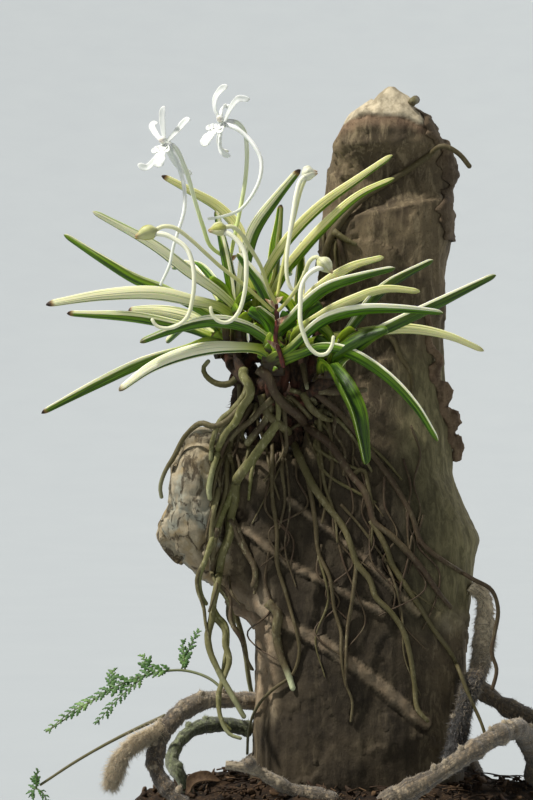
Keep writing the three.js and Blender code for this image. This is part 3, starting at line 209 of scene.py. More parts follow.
# Roots that are too fine for the CAD: radius and path.
FINE_ROOTS = [
    (1.1, [(-27, -17, 132), (-28, -17, 127.5), (-31.4, -16.5, 122.8), (-35, -16, 118.5)]),
    (0.85, [(-21, -17, 136), (-18.8, -18, 135.4), (-14.3, -17, 133.2), (-11.3, 130.2), (-7, 127.5),
            (-1, 121), (5, 110)]),
    (0.8, [(-22, -17, 134), (-20.3, -18, 133.2), (-15.8, -16, 128.7), (-13.5, 125), (-11.5, 117),
           (-10, 106), (-7, 97), (-6, 88)]),
    (0.9, [(-25, -17, 134), (-24.5, -18, 129), (-26, -17, 123), (-30, -16, 117), (-33, 110), (-34, 101)]),
    (0.75, [(-34, -16, 134), (-36.5, -16, 129), (-38, -16, 124), (-41.5, -15, 118.5), (-43, 111),
            (-43.5, 104), (-46, 96), (-47.5, 89)]),
    (0.8, [(-23, -17, 133), (-22.5, -17, 126), (-22, -16, 119), (-23.5, 111), (-22.5, 101), (-24.5, 92)]),
    (0.7, [(-40, -15, 116), (-39, 108), (-41.5, 99), (-41, 90), (-44.5, 82), (-44, -16, 74),
           (-46.5, -17, 66)]),
    (0.9, [(-26.5, -16, 131), (-31.5, -15, 122.5), (-34.5, -14, 119)]),
    (0.7, [(-44, -15, 75), (-40, -15, 71), (-39.5, -16, 63), (-36.5, -18, 58), (-35, 51), (-32.5, 46)]),
    (0.75, [(0, 81.5), (-1.5, 70), (-3, 61), (-3.5, 52), (-3.5, 43)]),
    (0.8, [(-1.5, 109), (2, 111), (4, 104), (5, 97.5), (4.5, 86)]),
    (0.7, [(2, 120), (8, 115), (14.5, 107.5)]),
    (0.45, [(-25, -17, 128), (-22, 112), (-21, 98), (-22.5, 86), (-19, 74)]),
    (0.5, [(-5, 100), (2, 92), (10, 80), (14, 66), (15, 52), (20, 40)]),
    (0.4, [(8, 84), (16, 74), (27, 66)]),
    (0.45, [(-12, 84), (-9, 70), (-13, 58), (-10, 46)]),
    (0.9, [(-39.6, 97), (-37, 91), (-32.9, 81.8), (-31.4, 75.8), (-32.2, 71.4)]),
    (0.95, [(-43.4, 105), (-45.4, 95.4), (-45.8, 82), (-44.6, -15, 75.8), (-40, -15, 68.3),
            (-38, -16, 60)]),
    (0.8, [(-9.8, 187), (-10, 180), (-9.2, 173)]),
    (0.75, [(-6, 184), (-6.4, 179), (-5.6, 175)]),
    (1.3, [(17.8, 9, 227.2), (18.8, 9, 228.6), (19.9, 8.8, 229.6)]),
    (0.9, [(-42, 97.5), (-43.2, 92.5), (-45.2, -15.3, 87.5), (-47.8, -15, 82), (-50.2, -15, 76.6),
           (-50, -15, 73), (-48.1, -15.5, 67.4), (-47.5, -16, 62.6), (-46.6, -17, 58.6),
           (-46.3, -17.5, 54)]),
    (0.8, [(-40, -15, 71), (-40.2, -14, 64), (-35.8, -14, 57.7), (-35, -13, 53), (-33, -13, 47.4)]),
    (0.85, [(-45.4, -14.6, 68), (-44, -14, 65), (-41, -15, 61.6), (-40.7, -16, 55.8), (-41.6, -16, 50),
            (-43, -16, 40), (-42.4, -17, 32.4), (-39.4, -18, 29)]),
    (1.05, [(-39.9, 95), (-37.6, 89.6), (-34.8, 84.8), (-32.2, 80.3), (-31.9, 76.2), (-32.8, 73.4)]),
    (0.5, [(-40.3, 77), (-38.8, -15, 71), (-36.5, -15, 68)]),
]

# The crown's mat of dead roots: radius and path of each strand.
MAT_CORES = [
    (3.6, [(-39, -5, 141), (-30, -7, 137), (-20, -8, 135), (-9, -13, 135.5)]),
    (3.2, [(-31, -8, 136), (-28, -6, 128), (-27, -4, 119)]),
    (3.4, [(-17, -9, 135), (-14, -7, 128), (-11, -5, 122)]),
    (2.8, [(-35, -6, 139), (-37, -4, 130), (-37, -2, 121)]),
    (3.3, [(-24, -9, 136), (-22.5, -7, 127), (-21, -5, 118)]),
    (2.6, [(-32, -4, 134), (-33, -3, 126), (-32, -1, 117)]),
    (3.1, [(-19, -7, 133), (-19.2, -5, 125), (-17.5, -2, 116)]),
    (2.8, [(-27, -7, 130), (-26, -4, 121), (-25, -1, 112)]),
    (2.7, [(-17.5, -11, 138), (-15, -10, 143), (-13.5, -9, 148)]),
    (2.3, [(-37, -5, 142), (-32.5, -6, 146.5), (-28, -8, 147)]),
    (2.2, [(-24, -6, 146), (-21.7, -5, 152), (-20.6, -5, 156)]),
]

# Each fan: how yellow it is, its flattened stem, then each leaf's width, roll in degrees, how much of it is
# cream (on the front fan's first blade partly a painted highlight on its upper face), how brown its tip is,
# and the path of its fold.
LEAF_FANS = {
    "leaf_fan_front": {
        "yellow": 0.1,
        "stem": [(-26.3, -21, 140.5), (-26.2, -21.5, 147), (-26, -22, 154)],
        "leaves": [
            (7, 42, 0.85, 0.6, [(-29.5, -23, 147.5), (-39.5, -26, 148.5), (-51, -28, 147),
                                (-63.5, -31, 142.5), (-74, -33, 135.5)]),
            (6.5, 10, 0.25, 0.4, [(-31.5, -23, 153.5), (-43.5, -28, 156.5), (-56, -32, 154.5),
                                  (-67.5, -34, 150.5)]),
            (7.5, 0, 0.2, 0.2, [(-27.5, -22, 159), (-29, -23.5, 164), (-32, -25, 170),
                                (-37.5, -26, 178.5)]),
            (6, 0, 0.1, 0.2, [(-27, -23.5, 156), (-29, -27, 159), (-31.5, -29.5, 161.5)]),
            (7, 12, 0.05, 0.1, [(-21, -24, 157), (-10, -29, 166.5), (0.5, -32, 170.5), (11.5, -33, 173.5)]),
            (7, 12, 0.16, 0.1, [(-20.5, -25, 148.5), (-10, -31, 157), (0.5, -34, 160), (13, -37, 160.5),
                                (26, -38, 159.5)]),
            (7, 0, 0.0, 0.1, [(-18, -25, 146.5), (-11, -29, 148.5), (-3.5, -32, 147), (8, -35, 140),
                                (17.5, -36, 130.5), (24.5, -35, 120)]),
        ],
    },
    "leaf_fan_left": {
        "yellow": 0.25,
        "stem": [(-38, -9.5, 148.5), (-38.5, -9.5, 157), (-39.2, -9.5, 165)],
        "leaves": [
            (7, 26, 0.92, 1, [(-42.5, -11, 161), (-52.5, -14, 163.5), (-64, -16, 165.5), (-80, -18, 165),
                             (-97.5, -20, 162.5)]),
            (6.5, 0, 0.06, 0.1, [(-44, -8, 157.5), (-60, -7, 166.5), (-70, -6, 170.5), (-80.5, -5, 177),
                              (-93, -4, 185.5)]),
            (6, 0, 0.78, 0.1, [(-38.5, -10, 161), (-42.5, -11, 165.5), (-53.5, -14, 173), (-64, -16, 181),
                                 (-83, -18, 192)]),
            (6.5, 0, 0.2, 0.3, [(-39.5, -9, 165), (-42, -9, 179), (-44.5, -8, 193)]),
            (8, 0, 0.5, 1, [(-36.5, -9, 164.5), (-33.5, -10, 179), (-31, -11, 186.5), (-24.5, -12, 196.5),
                             (-17.5, -14, 205.5)]),
            (6.5, 0, 0.35, 0.3, [(-42, -7, 162), (-47, 12, 171), (-53, 30, 177), (-60, 48, 177)]),
        ],
    },
    "leaf_fan_rear": {
        "yellow": 0.65,
        "stem": [(-30, -1, 149), (-30.4, 0, 158), (-31, 0, 165)],
        "leaves": [
            (6.5, 0, 0.75, 1, [(-33, 0, 169.5), (-35.5, 1, 177), (-37.5, 2, 186.5), (-44, 2, 194),
                              (-53, 1, 199.5), (-62, 0, 204.5)]),
            (6.5, 0, 0.15, 1, [(-26.5, 0, 169.5), (-24.5, 1, 184), (-23.5, 2, 195.5)]),
            (5.6, 0, 0.6, 0.1, [(-31, -5, 165.5), (-27.5, -7, 174), (-20, -11, 184.5), (-10.5, -14, 194),
                              (1, -15, 202.5), (11.5, -15, 210)]),
            (5.6, 0, 0.5, 0.1, [(-27, -3, 164), (-22.5, -8, 172.5), (-18, -12, 178), (-9.5, -16, 187.5),
                               (1, -17, 197), (12, -17, 202.5)]),
            (6.5, 0, 0.4, 0.3, [(-31, 3, 165), (-33, 18, 171), (-36, 34, 172), (-37, 55, 165)]),
            (6.5, 0, 0.3, 0.2, [(-28, 4, 164), (-25, 20, 172), (-23, 36, 176), (-20, 52, 175)]),
        ],
    },
    "leaf_fan_centre": {
        "yellow": 0.6,
        "stem": [(-17.6, -12, 146.5), (-18, -12, 153), (-18.5, -12, 159)],
        "leaves": [
            (5.4, 0, 0.75, 0.1, [(-17.5, -12, 161), (-9.5, -18, 169), (-1, -20, 174.5), (8.5, -21, 177.5)]),
            (5.4, 0, 0.9, 0.1, [(-18.5, -16, 153.5), (-10.5, -21, 159), (-1, -25, 163.5), (8.5, -26, 167),
                                 (19.5, -27, 166.5)]),
            (5.5, 0, 0.3, 0.2, [(-18, -9, 161.5), (-17.2, -6, 173.5), (-17, -4, 183.5)]),
            (5.6, 0, 0.85, 0.3, [(-17, -14, 148.5), (-11.5, -18, 151.5), (3, -22, 153.5), (16, -24, 154.5),
                                (28.5, -25, 152.5), (39.5, -25, 148)]),
        ],
    },
    "leaf_fan_right": {
        "yellow": 0.1,
        "stem": [(-7.6, -23.5, 139.5), (-6.8, -24.5, 145), (-6, -25, 149)],
        "leaves": [
            (7, 0, 0.06, 0.1, [(-4.5, -25, 151), (1, -25, 158.5), (8.5, -24, 167), (16, -23, 172),
                              (24, -21, 176.5)]),
            (7, 0, 0.06, 0.1, [(-5, -28, 148.5), (0.5, -29, 151), (10.5, -30, 155), (21, -31, 160),
                              (31.5, -31, 165.5), (43, -30, 171.5)]),
            (10, -65, -0.1, 0, [(-7, -30, 146), (-3.5, -33, 148.5), (2.5, -36, 152), (9, -38, 154.5)]),
            (10, 8, -0.12, 0, [(-9, -28, 143), (-7.5, -34, 141), (-5, -40, 136), (-1.5, -43, 128.5),
                               (0.5, -43, 120.5), (2, -42, 113)]),
        ],
    },
    "leaf_fan_low_left": {
        "yellow": 0.3,
        "stem": [(-41.2, -2, 146.5), (-42, -1.5, 151), (-43, -1, 155)],
        "leaves": [
            (6.5, 0, 0.08, 1, [(-47.5, -3, 150.5), (-54.5, -4, 148.5), (-66.5, -6, 144.5),
                               (-81.5, -9, 137.5), (-99.5, -12, 128.5)]),
            (6.5, 0, 0.3, 1, [(-51, 1, 154.5), (-64, 2, 157.5), (-73.5, 3, 159), (-92.5, 4, 160.5)]),
            (8, 22, 0.8, 1, [(-47, 4, 155), (-53, 6, 158), (-65, 8, 161), (-73, 9, 161.5)]),
            (6.5, 0, 0.3, 0.3, [(-44, 3, 153), (-48, 20, 158), (-54, 36, 158), (-62, 52, 152)]),
            (6.5, 0, 0.5, 0.3, [(-41, 4, 152), (-38, 20, 155), (-36, 36, 152), (-36, 52, 143)]),
        ],
    },
}
LEAF_OPENING = math.radians(92)
LEAF_EDGE = 0.95
LEAF_RIB = 1.7
LEAF_SLIMNESS = 0.9
LEAF_LEAN = 12  # degrees that side-pointing blades roll towards the front
SHEATH_DROP = 5  # height over which a leaf parts from its stem
FOOT_DROP = 1.5
STEM_HALF_WIDTH = 4.3
STEM_HALF_DEPTH = 2.3

FLOWER_STALKS = {
    "flower_stalk_front": [(-23, -25, 143), (-24, -26.2, 147), (-25.5, -26.6, 151.5), (-25, -26.6, 157.5),
                           (-25.5, -26, 164)],
    "flower_stalk_rear": [(-36.3, -2.8, 156), (-37.3, -2.6, 164), (-38.5, -3.8, 171), (-40, -5.5, 178)],
}

BLOOMS = {
    "bloom_left": {
        "pedicel": [(-40.2, -6.5, 177.5), (-46, -9, 181.5), (-48.5, -12, 188), (-51, -15, 196),
                    (-54, -18, 206), (-57.5, -19.5, 212.5), (-60.5, -20, 213)],
        "spur": [(-60, -19.8, 213), (-58, -21.5, 211), (-55.5, -23, 205), (-54, -24, 199), (-54, -25, 192),
                 (-56, -26, 185), (-57.5, -26, 180), (-58.5, -26, 175), (-61.5, -25, 168.5)],
        "facing": (-0.35, -0.9, 0.1),
        "tepals": [
            [(-60.2, -20, 213.2), (-60.7, -20, 218), (-60.9, -20.5, 222), (-60.3, -22, 224.8)],
            [(-60.3, -19.7, 213.1), (-63.2, -17, 216.8), (-64.2, -15.5, 219.2), (-62.9, -14, 220.6)],
            [(-60, -20, 213.1), (-56.2, -20, 217.3), (-53.6, -20.6, 220.2), (-52.2, -22, 220.6)],
            [(-60.4, -20, 212.7), (-63.5, -19, 208), (-65.9, -18.5, 205.8), (-68.8, -18.5, 206.8)],
            [(-60.2, -19.7, 212.7), (-57.6, -16, 208.5), (-54.6, -14.5, 205.5), (-51.8, -14.5, 204)],
        ],
        "lip": [(-60.3, -21, 212.6), (-61, -24, 210.3), (-61.4, -26, 207.8), (-62.2, -27, 205.2)],
        "lip_facing": (-0.35, -0.9, 0.4),
    },
    "bloom_top": {
        "pedicel": [(-39.8, -6, 178.5), (-37, -5.5, 192), (-35, -5, 203.5), (-34.6, -4.5, 213),
                    (-35.6, -4.5, 219), (-38.5, -5, 221.5), (-42, -6, 220.5)],
        "spur": [(-41.5, -6, 220.6), (-38, -8.5, 219), (-34.8, -9.5, 216.5), (-32, -11, 213),
                 (-30, -12, 208.5), (-30.5, -13, 202.5), (-33.5, -13, 196.5), (-37, -13, 192.7),
                 (-42.5, -13, 190.7), (-47, -13, 190)],
        "facing": (-0.7, -0.65, -0.3),
        "tepals": [
            [(-42.2, -6.2, 220.6), (-44.6, -6.5, 225.3), (-44.3, -7, 229.1), (-42, -8, 231.9),
             (-40.6, -9.5, 232.4)],
            [(-41.9, -6.2, 220.8), (-39.5, -7.5, 225.6), (-37, -9, 228.4), (-33.6, -11, 228)],
            [(-42.1, -6, 220.8), (-42.6, -4, 225), (-41.2, -2, 226.9), (-38.8, -0.5, 226.4)],
            [(-42.3, -6.1, 220.2), (-43, -6.5, 215), (-42.4, -7.5, 211.8), (-39.8, -9, 210.1)],
            [(-42.2, -6, 220.3), (-43.5, -0.5, 216), (-42.4, 3, 213.4), (-40.4, 4.4, 212.6)],
        ],
        "lip": [(-42.6, -7, 220.2), (-45, -9.5, 217.9), (-46.9, -11, 215.5), (-48.3, -12, 213)],
        "lip_facing": (-0.3, -0.8, 0.55),
    },
}

BUDS = {
    "bud_low_left": {
        "pedicel": [(-26.5, -27.5, 160.5), (-32, -31, 165.5), (-36, -32, 169), (-42.5, -33.5, 174),
                    (-47.5, -35, 178.5), (-52.5, -36, 183), (-57, -37, 186), (-60.5, -37, 186.2),
                    (-63, -37, 184.8)],
        "spur": [(-63, -37.6, 184), (-60, -38.5, 183.8), (-57, -39, 182.5), (-53, -40, 179.5),
                 (-51, -41, 174.5), (-50.5, -41.5, 169.5), (-51, -41.5, 164), (-52.5, -41.5, 158.5),
                 (-55, -41.5, 156), (-58.5, -41.5, 154.8), (-62, -41.5, 155.5), (-63.6, -41.5, 157.8)],
        "head": [(-61.5, -37.2, 185.2), (-65.5, -37.6, 184.3), (-69.3, -38, 182.6)],
        "radius": 2.5, "green": 1,
    },
    "bud_middle": {
        "pedicel": [(-25.3, -27.5, 163), (-27.5, -29.5, 167), (-30, -32, 174), (-33.5, -35, 180),
                    (-36.5, -37, 184.5), (-39, -38, 186.2), (-42, -38, 185.8)],
        "spur": [(-43, -38.6, 184.5), (-40.5, -39.3, 184.2), (-37.5, -40, 182), (-35, -41, 178),
                 (-34.5, -42, 172.5), (-35, -42, 166), (-37, -42, 159.5), (-40, -42, 156.7),
                 (-43, -42, 157), (-45, -42, 159), (-45.5, -42, 161.5)],
        "head": [(-40.5, -38.2, 185.8), (-43.5, -38.6, 185.4), (-46.4, -39, 184.8)],
        "radius": 2.4, "green": 0.9,
    },
    "bud_tall": {
        "pedicel": [(-25, -24.5, 165), (-23.8, -22, 172), (-22.5, -20.5, 178), (-19.5, -19.5, 191),
                    (-17.5, -19.5, 199), (-15.5, -20.5, 203.5)],
        "spur": [(-15.5, -22, 203), (-17.6, -23.5, 201.5), (-19, -25, 197), (-20, -26, 191),
                 (-21, -27, 185), (-22, -28, 177.5), (-22, -28.5, 171.5), (-21, -28.5, 168),
                 (-19.5, -28.5, 166.8), (-17.5, -28.5, 169.5), (-16.4, -28.5, 173)],
        "head": [(-17.3, -21, 202.6), (-14.8, -21.5, 204), (-12.2, -22, 203.6)],
        "radius": 2.5, "green": 0.3,
    },
    "bud_right": {
        "pedicel": [(-24.6, -28, 160.5), (-21, -31, 164.5), (-18.5, -34, 168), (-16.5, -36.5, 172),
                    (-15, -38.5, 175.5), (-13, -39.5, 176.8), (-10.8, -39.6, 175)],
        "spur": [(-10.5, -41, 173.5), (-13, -41.5, 173), (-15.8, -42.3, 171), (-17.6, -43, 167.5),
                 (-18, -44, 162), (-18, -45, 157), (-17, -45, 153), (-15, -45, 148.7), (-12.5, -45, 146.7),
                 (-10, -45, 147), (-8.3, -45, 149.5), (-7.8, -45, 152.5)],
        "head": [(-12.6, -39.6, 176.4), (-10, -40, 174), (-8, -40.4, 171.4)],
        "radius": 2.6, "green": 0.7,
    },
}

# Each rhizome: radius at its foot and its tip, how green it is, how pale at both ends (below 0 painted
# shade), and its branches.
RHIZOMES = {
    "rhizome_left_arch": (2.9, 2.6, 0, (0.25, 0.05), [
        [(-31, 4, 36), (-41, 0, 37), (-48, -4, 37), (-55, -8, 34), (-60, -12, 29), (-62.5, -15, 23.5),
         (-63.5, -18, 18.5), (-61, -20, 13), (-56.5, -22, 8.5), (-52, -24, 6)],
        [(-60, -12, 29), (-65, -16, 27), (-68.5, -20, 25.5), (-73, -24, 22), (-75.5, -26, 17),
         (-77, -28, 12)]]),
    "rhizome_left_green": (2.3, 2.1, 1, (0.05, 0.2), [
        [(-33.5, 14, 26), (-43.5, 10, 28), (-51.5, 4, 27), (-56, 0, 23.5), (-58.5, -4, 18), (-55.5, -8, 13),
         (-52, -10, 7.5), (-48, -12, 5)]]),
    "rhizome_front": (1.3, 2.5, 0, (0.45, 0.1), [
        [(-41, -34, 20), (-36.5, -34, 19.5), (-32.5, -33, 18.5), (-27, -32, 15.5), (-20.5, -31, 12),
         (-12.5, -31, 10), (-5.5, -31, 7.5)],
        [(-32.5, -33, 18.5), (-34, -35, 22)]]),
    "rhizome_right_front": (3, 3, 0, (0.12, 0.12), [
        [(7, -34, 7.5), (11.5, -34, 10), (22.5, -36, 16), (32, -34, 22), (42, -28, 27.5), (50.5, -18, 29.5),
         (54.5, -8, 25), (57, 0, 19.5), (58, 8, 9)]]),
    "rhizome_right_furry": (2.6, 3.2, 0, (0.95, -0.3), [
        [(36.5, -8, 74), (40.5, -8, 70.5), (41, -8, 63), (40.5, -8.5, 55), (39, -11, 47.5), (36, -16, 42),
         (32, -22, 30), (30, -26, 17.5)]]),
    "rhizome_right_rear": (2.6, 2.4, 0, (0.1, 0.1), [
        [(40.5, 8, 39.5), (48, 6, 34.5), (53, 4, 32), (59, 0, 29), (64, -4, 18), (65, -4, 6)]]),
    "rhizome_rear": (2.8, 2.5, 0, (0.1, 0.1), [
        [(-38, 26, 8), (-30, 34, 15), (-16, 38.5, 18), (0, 38.5, 14), (14, 39, 11), (26, 37, 15),
         (36, 30, 16), (41, 22, 8)]]),
}

# The frond's main rib, then each side rib: its foot's share of the main rib, and its tip.
FROND_RIB = [(-40, 4, 35), (-42.5, 10, 39), (-46.5, 16, 42), (-52, 21, 43.8), (-58, 25, 44.2),
             (-67, 27, 42.6), (-78.5, 28, 38.2), (-92, 28, 29.5), (-101, 28, 23.5)]
FROND_SIDE_RIBS = [(0.34, (-56, 27, 54)), (0.36, (-50.5, 29, 57.5)), (0.52, (-84.5, 22, 26.5)),
                   (0.5, (-69.5, 32, 48.5)), (0.68, (-79, 33, 43.5))]
FROND_FACING = (-0.3, -0.8, 0.5)
LOW_STIPE = [(-60.5, -6, 32.5), (-75, -2, 25.3), (-89, 4, 17), (-101.5, 8, 8.5)]
LOW_LEAFLETS = ((-2.6, 0, -3.6), (-1.6, 2, 2.8), (2.8, -1, -5.4), (-0.6, -2, 5.6))  # tips, from its end

PEAT_HEIGHT = 13
PEAT_CENTRE = np.array([-4, 2])
PEAT_REACH = np.array([68, 46])
PEAT_EDGE = 1.6
DRY_LEAF = [(-53, -32, 11), (-50, -33.5, 14.5), (-46.5, -34, 15.5), (-42.5, -33, 15)]

# ---------------------------------------------------------------- shapes


def eased(x, low=0.0, high=1.0):
    """Smooth step from 0 at low to 1 at high."""
    t = np.clip((np.asarray(x, float) - low) / (high - low), 0, 1)
    return t * t * (3 - 2 * t)


def unit(v):
    v = np.asarray(v, float)
    return v / np.linalg.norm(v, axis=-1, keepdims=True)


def grain(points, pitch, seed=0):
    """Smooth random field, about -1 to 1. Its features are `pitch` mm apart, a number or one per axis."""
    at = np.asarray(points, float).reshape(-1, 3) / pitch + np.array([17.3, 5.1, -9.7]) * (seed + 1)
    return np.array([noise.noise(p) for p in at.tolist()])


def angles(sides):
    """Angle of each point round a section."""
    return np.arange(sides) / sides * 2 * math.pi


def around(sides):
    """Value that rises from -1 to 1 and falls again once round a section."""
    return (1 - 4 * np.abs(np.arange(sides) / sides - 0.5))[None]


def blunted(share, start, length, least):
    """1 up to the start, then down in a quarter round over the length."""
    return np.sqrt(np.clip(1 - ((share - start) / length).clip(0, 1) ** 2, least, 1))


class Path:
    """Smooth curve through points, measured along its length."""

    def __init__(self, points):
        p = np.array(points, float)
        p = np.vstack([2 * p[0] - p[1], p, 2 * p[-1] - p[-2]])
        t = np.linspace(0, 1, 24, endpoint=False)[:, None]
        rows = []
        for a, b, c, d in zip(p, p[1:], p[2:], p[3:]):
            d0, d1, d2 = (max(np.linalg.norm(v), 1e-4) ** 0.5 for v in (b - a, c - b, d - c))
            leave = d1 * ((b - a) / d0 - (c - a) / (d0 + d1) + (c - b) / d1)
            arrive = d1 * ((c - b) / d1 - (d - b) / (d1 + d2) + (d - c) / d2)
            bend = 3 * (c - b) - 2 * leave - arrive
            rows.append(b + leave * t + bend * t**2 + (2 * (b - c) + leave + arrive) * t**3)
        self.line = np.vstack([*rows, p[-2]])
        self.run = np.concatenate([[0], np.cumsum(np.linalg.norm(np.diff(self.line, axis=0), axis=1))])
        self.length = self.run[-1]

    def point(self, t):
        return np.stack([np.interp(np.asarray(t) * self.length, self.run, x) for x in self.line.T], -1)

    def along(self, t):
        t = np.asarray(t)
        return unit(self.point(np.minimum(t + 0.004, 1)) - self.point(np.maximum(t - 0.004, 0)))


KINDS = ("along", "across", "over", "tone", "mark", "tip")  # what a mesh tells its material at each point


class Shape:
    """Points and faces of a mesh, with the values that its material reads at each point."""

    def __init__(self):
        self.points, self.faces, self.values, self.count = [], [], [], 0

    def add(self, points, faces, **values):
        points = np.asarray(points, float).reshape(-1, 3)
        table = np.zeros((len(points), len(KINDS)))
        for kind, value in values.items():
            table[:, KINDS.index(kind)] = np.asarray(value, float).ravel() if np.ndim(value) else value
        self.points.append(points)
        self.faces += [[i + self.count for i in face] for face in faces]
        self.values.append(table)
        self.count += len(points)

    def skin(self, rings, **values):
        """Closed skin over a row of rings, each anticlockwise when looking back down the row."""
        count, sides = rings.shape[:2]
        index = np.arange(count * sides).reshape(count, sides)
        a, b = index[:-1], index[1:]
        quads = np.stack([a, np.roll(a, -1, 1), np.roll(b, -1, 1), b], -1).reshape(-1, 4).tolist()
        foot, head = count * sides, count * sides + 1
        quads += [[foot, j, i] for i, j in zip(index[0], np.roll(index[0], -1))]
        quads += [[head, i, j] for i, j in zip(index[-1], np.roll(index[-1], -1))]
        spread = {}
        for kind, value in values.items():
            full = np.broadcast_to(value, (count, sides))
            spread[kind] = np.concatenate([full.ravel(), [full[0].mean(), full[-1].mean()]])
        points = np.vstack([rings.reshape(-1, 3), rings[0].mean(0), rings[-1].mean(0)])
        self.add(points, quads, **spread)

    def arrays(self):
        return np.vstack(self.points), self.faces

    def object(self, name):
        mesh = bpy.data.meshes.new(name)
        points, faces = self.arrays()
        mesh.from_pydata((points * MM).tolist(), [], faces)
        table = np.vstack(self.values)
        for i, kind in enumerate(KINDS):
            if np.any(table[:, i]):
                layer = mesh.attributes.new(kind, "FLOAT", "POINT")
                layer.data.foreach_set("value", table[:, i].astype(np.float32))
        mesh.polygons.foreach_set("use_smooth", [True] * len(mesh.polygons))
        mesh.update()
        return placed(name, mesh)


def sweep(shape, path, stations, sections, side=None, facing=None, **values):
    """Skin along a path over sections[k][i] = (across, out), turning as little as it can unless told."""
    at, along = path.point(stations), path.along(stations)
    across = np.empty_like(at)
    current = np.array([0.31, 0.94, 0.12])  # any side will do to start from
    for k, direction in enumerate(along):
        if side is not None:
            current = np.asarray(side, float)
        if facing is not None:
            current = np.cross(facing, direction)
        current = unit(current - direction * current.dot(direction))
        across[k] = current
    out = np.cross(along, across)
    rings = at[:, None] + across[:, None] * sections[..., :1] + out[:, None] * sections[..., 1:]
    shape.skin(rings, along=np.asarray(stations)[:, None], **values)
    return rings


def oval(sides, power):
    """Cosine and sine of each angle round a section, and how far a superellipse reaches there."""
    c, s = np.cos(angles(sides)), np.sin(angles(sides))
    return c, s, (np.abs(c) ** power + np.abs(s) ** power) ** (-1 / power)


def ellipse(half_widths, half_depths, sides, power=2.0):
    """One section for each station, as wide and deep as the lists say."""
    c, s, reach = oval(sides, power)
    x = np.outer(half_widths, reach * c)
    return np.stack([x, np.outer(np.broadcast_to(half_depths, len(x)), reach * s)], -1)


def tube(shape, path, start, end, sides, rough, step=1.4, seed=0, **values):
    """Round tube with an uneven skin and a rounded tip. A pair of values runs from its foot to its tip."""
    count = max(6, round(path.length / step))
    cap = np.array([0.02, 0.12, 0.35, 0.65, 1.0])
    share = min(0.4, end / path.length)
    stations = np.linspace(0, 1, count + 1)
    stations = np.concatenate([stations[stations < 1 - share * 1.2], 1 - share * cap[::-1]])
    radius = start + (end - start) * stations
    radius *= np.sqrt(np.clip(1 - (1 - np.minimum((1 - stations) / share, 1)) ** 2, 0.02, 1))
    at = path.point(stations)
    radius *= 1 + rough * 1.6 * grain(at, 7, seed) + rough * grain(at, 2.3, seed + 5)
    for kind, ends in values.items():
        if isinstance(ends, tuple):
            values[kind] = (ends[0] + (ends[1] - ends[0]) * eased(stations, 0.1, 0.7))[:, None]
    return sweep(shape, path, stations, ellipse(radius, radius, sides), **values)


def fur(shape, rings, count, length, lift, pale, thickness=0.09):
    """Fine tapered hairs that lean along the tube's skin, three-sided."""
    stations, sides = rings.shape[:2]
    middle = rings.mean(1)
    picks = rng.random((count, 2))
    row = (picks[:, 0] * (stations - 3) + 1).astype(int)
    column = (picks[:, 1] * sides).astype(int)
    blend = rng.random((count, 1))
    root = rings[row, column] * (1 - blend) + rings[row + 1, (column + 1) % sides] * blend
    out = unit(root - middle[row])
    along = unit(middle[row + 1] - middle[row])
    lean = unit(out * lift + along + 0.5 * rng.normal(size=(count, 3)))
    reach = length * (0.5 + rng.random((count, 1)))
    side = unit(np.cross(lean, out)) * thickness
    up = np.cross(side, lean)
    base = root - out * 0.2
    points = np.stack([base + side, base - side * 0.5 + up * 0.87, base - side * 0.5 - up * 0.87,
                       base + lean * reach], 1)
    faces = []
    for k in range(count):
        a, b, c, d = range(4 * k, 4 * k + 4)
        faces += [[a, b, d], [b, c, d], [c, a, d], [a, c, b]]
    light = np.linspace(*np.broadcast_to(pale, 2), stations)[row] + 0.35 * rng.random(count)
    light = np.repeat(np.clip(light, -0.2, 1), 4)
    shape.add(points.reshape(-1, 3), faces, tone=light, over=np.tile([0.3, 0.3, 0.3, 1.0], count))


# ---------------------------------------------------------------- looks


def tint(code):
    """Linear colour of a hexadecimal sRGB one."""
    parts = [int(code[i:i + 2], 16) / 255 for i in (0, 2, 4)]
    return (*(x / 12.92 if x < 0.04045 else ((x + 0.055) / 1.055) ** 2.4 for x in parts), 1)


